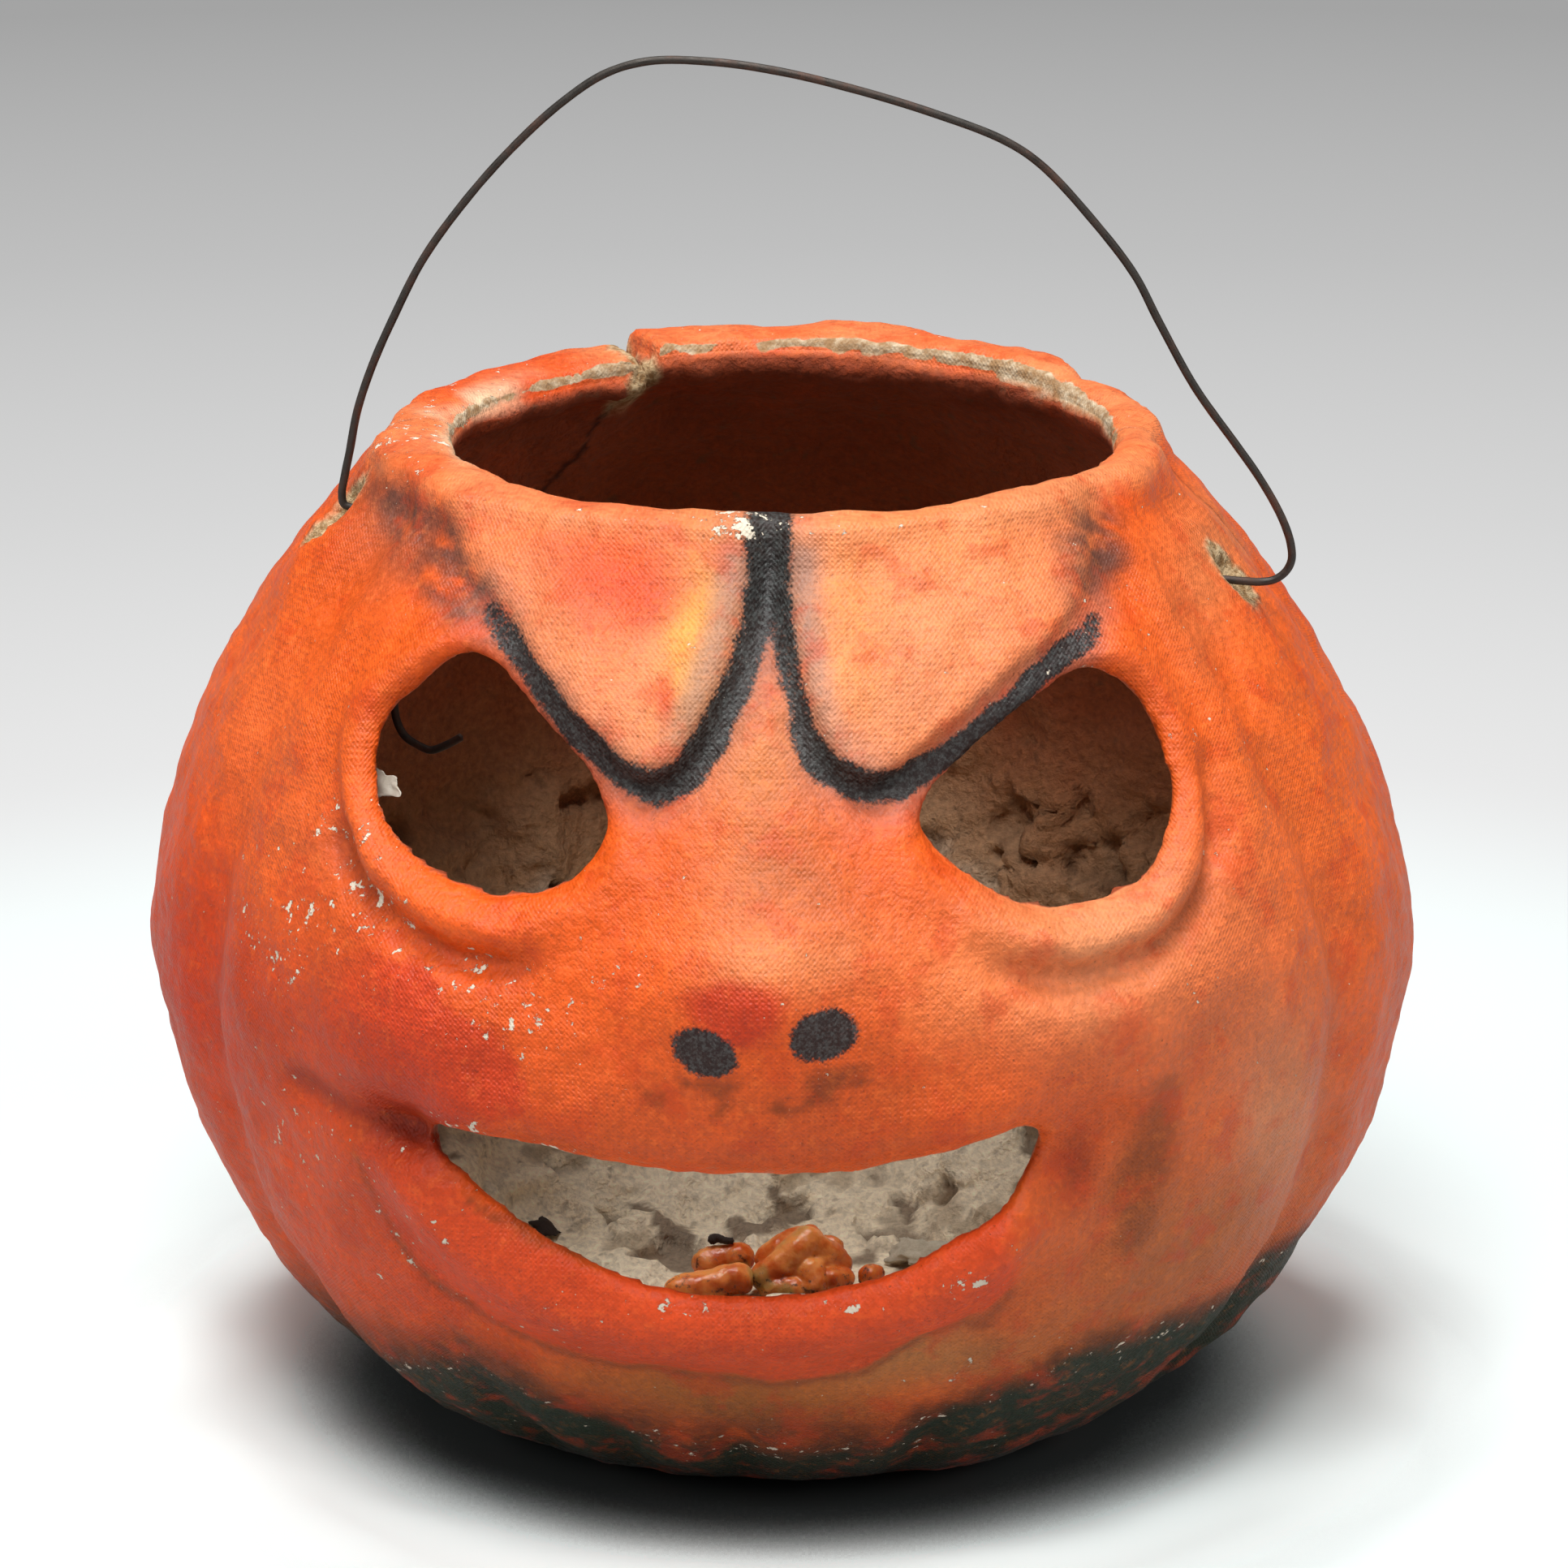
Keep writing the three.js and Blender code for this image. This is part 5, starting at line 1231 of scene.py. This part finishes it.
def tube(name, route, radii, sides):
    """A round tube with domed ends along a route of points."""
    route = [Vector(p) for p in route]
    tangents = [(b - a).normalized() for a, b in zip(route[:1] + route[:-1], route[1:] + route[-1:])]
    side = tangents[0].orthogonal().normalized()
    bm = bmesh.new()
    rings = []
    for number, (point, tangent) in enumerate(zip(route, tangents)):
        side = (side - tangent * side.dot(tangent)).normalized()
        other = tangent.cross(side)
        turns = [2 * math.pi * s / sides for s in range(sides)]
        spokes = [side * math.cos(t) + other * math.sin(t) for t in turns]
        rings.append([bm.verts.new(point + spoke * radii[number]) for spoke in spokes])
    for low, high in zip(rings[:-1], rings[1:]):
        for s in range(sides):
            t = (s + 1) % sides
            bm.faces.new((low[s], low[t], high[t], high[s]))
    for ring, point, push in ((rings[0], route[0], -tangents[0]), (rings[-1], route[-1], tangents[-1])):
        tip = bm.verts.new(point + push * radii[0] * 0.5)
        for s in range(sides):
            bm.faces.new((ring[s], ring[(s + 1) % sides], tip))
    bmesh.ops.recalc_face_normals(bm, faces=bm.faces)
    return solid_object(name, bm)


rise = (Vector((0, 0, 1)) - HINGE * HINGE.z).normalized()
bends = [LEFT_HINGE + HINGE * a + rise * h for a, h in LEFT_LEG + BOW_FROM_LEFT]
bends += [RIGHT_HINGE + HINGE * a + rise * h for a, h in BOW_FROM_RIGHT + RIGHT_LEG]
route = smooth_line([tuple(p) for p in bends], False, 1400)
uneven = WIRE_RADIUS * (1 + 0.03 * rough(route, 2.5, 80, 3))
wire = tube("bail_iron_wire", route, uneven, 18)

# Rusted iron wire: soft drawn iron gone dark and dull, with scale of 2 mm, pits of 0.6 mm, and brown rust in
# patches of about 8 mm
iron, tree, place, grain = new_material("rusted_iron_wire", scale=(0.5, 6, 0.7), rust=(0.12, 5, 0.7),
                                        pits=(1.6, 5, 0.7))
rust = add(tree, "MapRange", [grain["rust"], 0.45, 0.7, 0, 0.8], **SMOOTH)
dark = add(tree, "Mix", {0: grain["scale"], 6: linear("#2c2926"), 7: linear("#5a5550")}, **RGBA)
brown = add(tree, "Mix", {0: grain["scale"], 6: linear("#35201a"), 7: linear("#70452f")}, **RGBA)
colour = add(tree, "Mix", {0: rust, 6: dark, 7: brown}, **RGBA)
metallic = add(tree, "Math", [rust, -0.6, 0.75], operation="MULTIPLY_ADD")
roughness = add(tree, "MapRange", [grain["scale"], 0.3, 0.7, 0.42, 0.7], **SMOOTH)
bump = add(tree, "Bump", {"Strength": 0.35, "Distance": 0.05 * MM, "Height": grain["pits"]})
shader = add(tree, "BsdfPrincipled", {"Base Color": colour, "Metallic": metallic, "Roughness": roughness,
                                      "Normal": bump})
add(tree, "OutputMaterial", {"Surface": shader})
finish_piece(wire, iron, "bail", "iron_wire", "bail_wire")


# Wax: the mound, runs and crumb left by old candles. Each is melted together from soft blobs that settled
# on the floor, and the amber wax is cloudy, with soot and grit caught in its folds.
FLOOR_TOP = WALL + 0.3
WAX_CELL = 0.26

# Each piece is a few fingers of wax, and a point of one has its x, y, height above the floor and radius
WAX_PIECES = {
    "wax_mound": [[(-3.4, 17, 2.6, 2.3), (0.4, 18.5, 5.2, 2.6), (3.2, 20.5, 7.2, 2.5)],
                  [(-3, 20.8, 4.4, 2), (1, 22, 6.4, 2.3), (3.4, 23, 6.6, 2.3)],
                  [(3.2, 20.5, 6.8, 2.5), (6.2, 21.6, 4.8, 2.3), (8.4, 22.4, 2.8, 2)],
                  [(1.2, 20, 2.6, 4), (4.6, 21.5, 2.6, 4)],
                  [(3.8, 17.4, 3.4, 2.2), (4.4, 15.8, 1.6, 2)], [(7.2, 17.8, 2, 2), (8.8, 18.9, 1.8, 1.8)],
                  [(-2.4, 16.2, 1.2, 1.9), (1.4, 15.6, 1, 2)]],
    "wax_run_front": [[(-16.8, 13.6, 1.6, 2.1), (-12, 14.2, 2.3, 2.4), (-7.4, 15, 3, 2.4)]],
    "wax_run_back": [[(-12.7, 23.3, 2.3, 2.4), (-10.4, 23.8, 2.8, 2.2), (-7.6, 24.2, 3, 2.4)]],
    "wax_run_rear": [[(0.6, 30.6, 2, 2.2), (3.4, 30.7, 2, 2.1), (6.4, 30.9, 2, 2.2)]],
    "wax_crumb": [[(12.9, 21.3, 1.3, 1.8), (14.1, 22, 1.4, 1.3)]],
}

# Old amber wax: melted candle wax, half clear, with clouds of 4 mm, greenish places of 8 mm, folds of 1.4 mm,
# and grit of about 1 mm where it lies low
wax, tree, place, grain = new_material("old_amber_wax", clouds=(0.25, 4, 0.5), olive=(0.12, 2, 0.5),
                                       grit=(0.8, 6, 0.7), folds=(0.7, 5, 0.6))
height = add(tree, "SeparateXYZ", [place], "Z")
clouds = add(tree, "MapRange", [grain["clouds"], 0.35, 0.65], **SMOOTH)
amber = add(tree, "Mix", {0: clouds, 6: linear("#c65418"), 7: linear("#e8934e")}, **RGBA)
olive = add(tree, "MapRange", [grain["olive"], 0.6, 0.7, 0, 0.5], **SMOOTH)
amber = add(tree, "Mix", {0: olive, 6: amber, 7: linear("#8b8a52")}, **RGBA)
grit = add(tree, "Math", [height, -26, grain["grit"]], operation="MULTIPLY_ADD")
grit = add(tree, "MapRange", [grit, 0.36, 0.46], **SMOOTH)
dirty = add(tree, "Math", [grit, 0.85], operation="MULTIPLY")
colour = add(tree, "Mix", {0: dirty, 6: amber, 7: linear("#3b2a1e")}, **RGBA)
roughness = add(tree, "Math", [grit, 0.45, 0.27], operation="MULTIPLY_ADD")
bump = add(tree, "Bump", {"Strength": 0.7, "Distance": 0.3 * MM, "Height": grain["folds"]})
shader = add(tree, "BsdfPrincipled", {
    "Base Color": colour, "Roughness": roughness, "IOR": 1.44, "Subsurface Weight": 0.7,
    "Subsurface Radius": (1.0, 0.45, 0.2), "Subsurface Scale": 1.6 * MM, "Normal": bump})
add(tree, "OutputMaterial", {"Surface": shader})

for seed, (node, fingers) in enumerate(WAX_PIECES.items()):
    bm = bmesh.new()
    for x, y, lift, size in np.concatenate([smooth_line(finger, False, 12) for finger in fingers]):
        ball = bmesh.ops.create_icosphere(bm, subdivisions=3, radius=size)["verts"]
        bmesh.ops.translate(bm, verts=ball, vec=(x, y, FLOOR_TOP + lift))
    melted = solid_object(f"{node}_amber", bm)
    points, normals = even_skin(melted, WAX_CELL, factor=0.6, rounds=6)
    points += normals * (0.1 + 0.22 * rough(points, 2, 90 + seed, 3))[:, None]
    points[:, 2] = np.maximum(points[:, 2], FLOOR_TOP)
    set_coordinates(melted, points)
    finish_piece(melted, wax, "shell", "candle_wax", node)


# Wick end: a burnt stub of twisted cotton lying on the back run, as a short tapered tube with a rough skin.
WICK_FROM, WICK_TO, WICK_RADIUS = (-12.3, 23.8, 10.2), (-8.7, 23.8, 10.2), 0.72
route = smooth_line([WICK_FROM, (-11.2, 24.1, 10.5), (-9.8, 23.6, 10.3), WICK_TO], False, 40)
uneven = WICK_RADIUS * (1 + 0.22 * rough(route, 0.7, 95, 3)) * np.linspace(1.05, 0.75, 40)
wick = tube("wick_end_burnt", route, uneven, 14)


def mottled_fibre(name, fibres, dark, pale, roughness, relief):
    """A matt fibrous material between two colours, whose own mottling stands up by so many millimetres."""
    material, tree, _, grain = new_material(name, fibres=fibres)
    colour = add(tree, "Mix", {0: grain["fibres"], 6: linear(dark), 7: linear(pale)}, **RGBA)
    bump = add(tree, "Bump", {"Distance": relief * MM, "Height": grain["fibres"]})
    shader = add(tree, "BsdfPrincipled", {"Base Color": colour, "Roughness": roughness, "Normal": bump})
    add(tree, "OutputMaterial", {"Surface": shader})
    return material


# Charred fibre: burnt cotton or paper, almost black and without gloss, in crumbs of 0.8 mm
soot = mottled_fibre("charred_fibre", (1.2, 5, 0.7), "#120e0c", "#3c2a22", roughness=0.9, relief=0.3)
finish_piece(wick, soot, "shell", "charred", "wick_end")


# Scraps: a flake of pulp lifted off the floor, a charred scrap at the foot of the wall, and the rest of a
# paper once pasted behind the left eye. Each is a thin torn sheet, curled between its corners.
def scrap_object(name, corners, towards, thickness, curl, seed):
    """A torn sheet over four corners, thickened and curled towards a direction."""
    steps = 26
    u, v = np.meshgrid(np.linspace(0, 1, steps), np.linspace(0, 1, steps))
    a, b, c, d = (np.array(p, float) for p in corners)
    flat = (a * ((1 - u) * (1 - v))[..., None] + b * (u * (1 - v))[..., None] + c * (u * v)[..., None]
            + d * ((1 - u) * v)[..., None])
    middle = flat.mean(axis=(0, 1))
    edge = ease(np.minimum(np.minimum(u, 1 - u), np.minimum(v, 1 - v)), 0.3, 0)
    jag = rough(flat.reshape(-1, 3), 2.2, seed, 4).reshape(u.shape)
    flat = flat + (middle - flat) * (edge * (0.14 + 0.3 * jag))[..., None]
    bow = curl * (1 - 4 * (u - 0.5) ** 2) + 0.3 * rough(flat.reshape(-1, 3), 3, seed + 1, 3).reshape(u.shape)
    lower = flat + np.array(towards) * np.maximum(bow, 0)[..., None]
    thick = thickness * (1 - 0.6 * edge)
    return sheet_object(name, lower + np.array(towards) * thick[..., None], lower)


# Lifted pulp flake: clean dry pulp, paler than the wall and matt, in clots of 1.7 mm
flake_material = mottled_fibre("lifted_pulp_flake", (0.6, 6, 0.65), "#857760", "#d9ceb8",
                               roughness=0.95, relief=0.4)
flake = scrap_object("floor_flake_pulp", [(14.5, 29.5, 4.3), (26, 24, 4.3), (28, 27.5, 7.6), (17.5, 33, 8)],
                     (-0.2, -0.35, 0.9), thickness=0.9, curl=0.8, seed=100)
finish_piece(flake, flake_material, "shell", "raw_pulp", "floor_flake")

char_corners = [wall_place(np.array(a), np.array(z), WALL + 0.35) for a, z in
                ((-135.1, 2.0), (-129.9, 2.0), (-130.6, 4.4), (-134.6, 4.2))]
char = scrap_object("charred_scrap_paper", char_corners, (0.6, -0.55, 0.58),
                    thickness=0.8, curl=0.7, seed=110)
finish_piece(char, soot, "shell", "charred", "charred_scrap")

# Yellowed white paper: thin uncoated paper, matt and uneven in tone over about 2 mm
paper = mottled_fibre("yellowed_white_paper", (0.5, 5, 0.5), "#b8ab93", "#efe8da",
                      roughness=0.85, relief=0.3)


def shoulder_height(share):
    """Height for a share of the profile, 1 at the belly and 2 at the rim's corner."""
    return BELLY_HEIGHT + (share - 1) * (BODY_HEIGHT - CORNER_DROP - BELLY_HEIGHT)


scrap_corners = [wall_place(np.array(a), np.array(shoulder_height(s)), WALL + 0.35) for a, s in
                 ((-46.5, 1.49), (-40.2, 1.52), (-41.2, 1.55), (-46.5, 1.57))]
paper_scrap = scrap_object("eye_paper_scrap_sheet", scrap_corners, (0.75, 0.65, -0.1),
                           thickness=0.45, curl=0.5, seed=120)
finish_piece(paper_scrap, paper, "shell", "white_paper", "eye_paper_scrap")
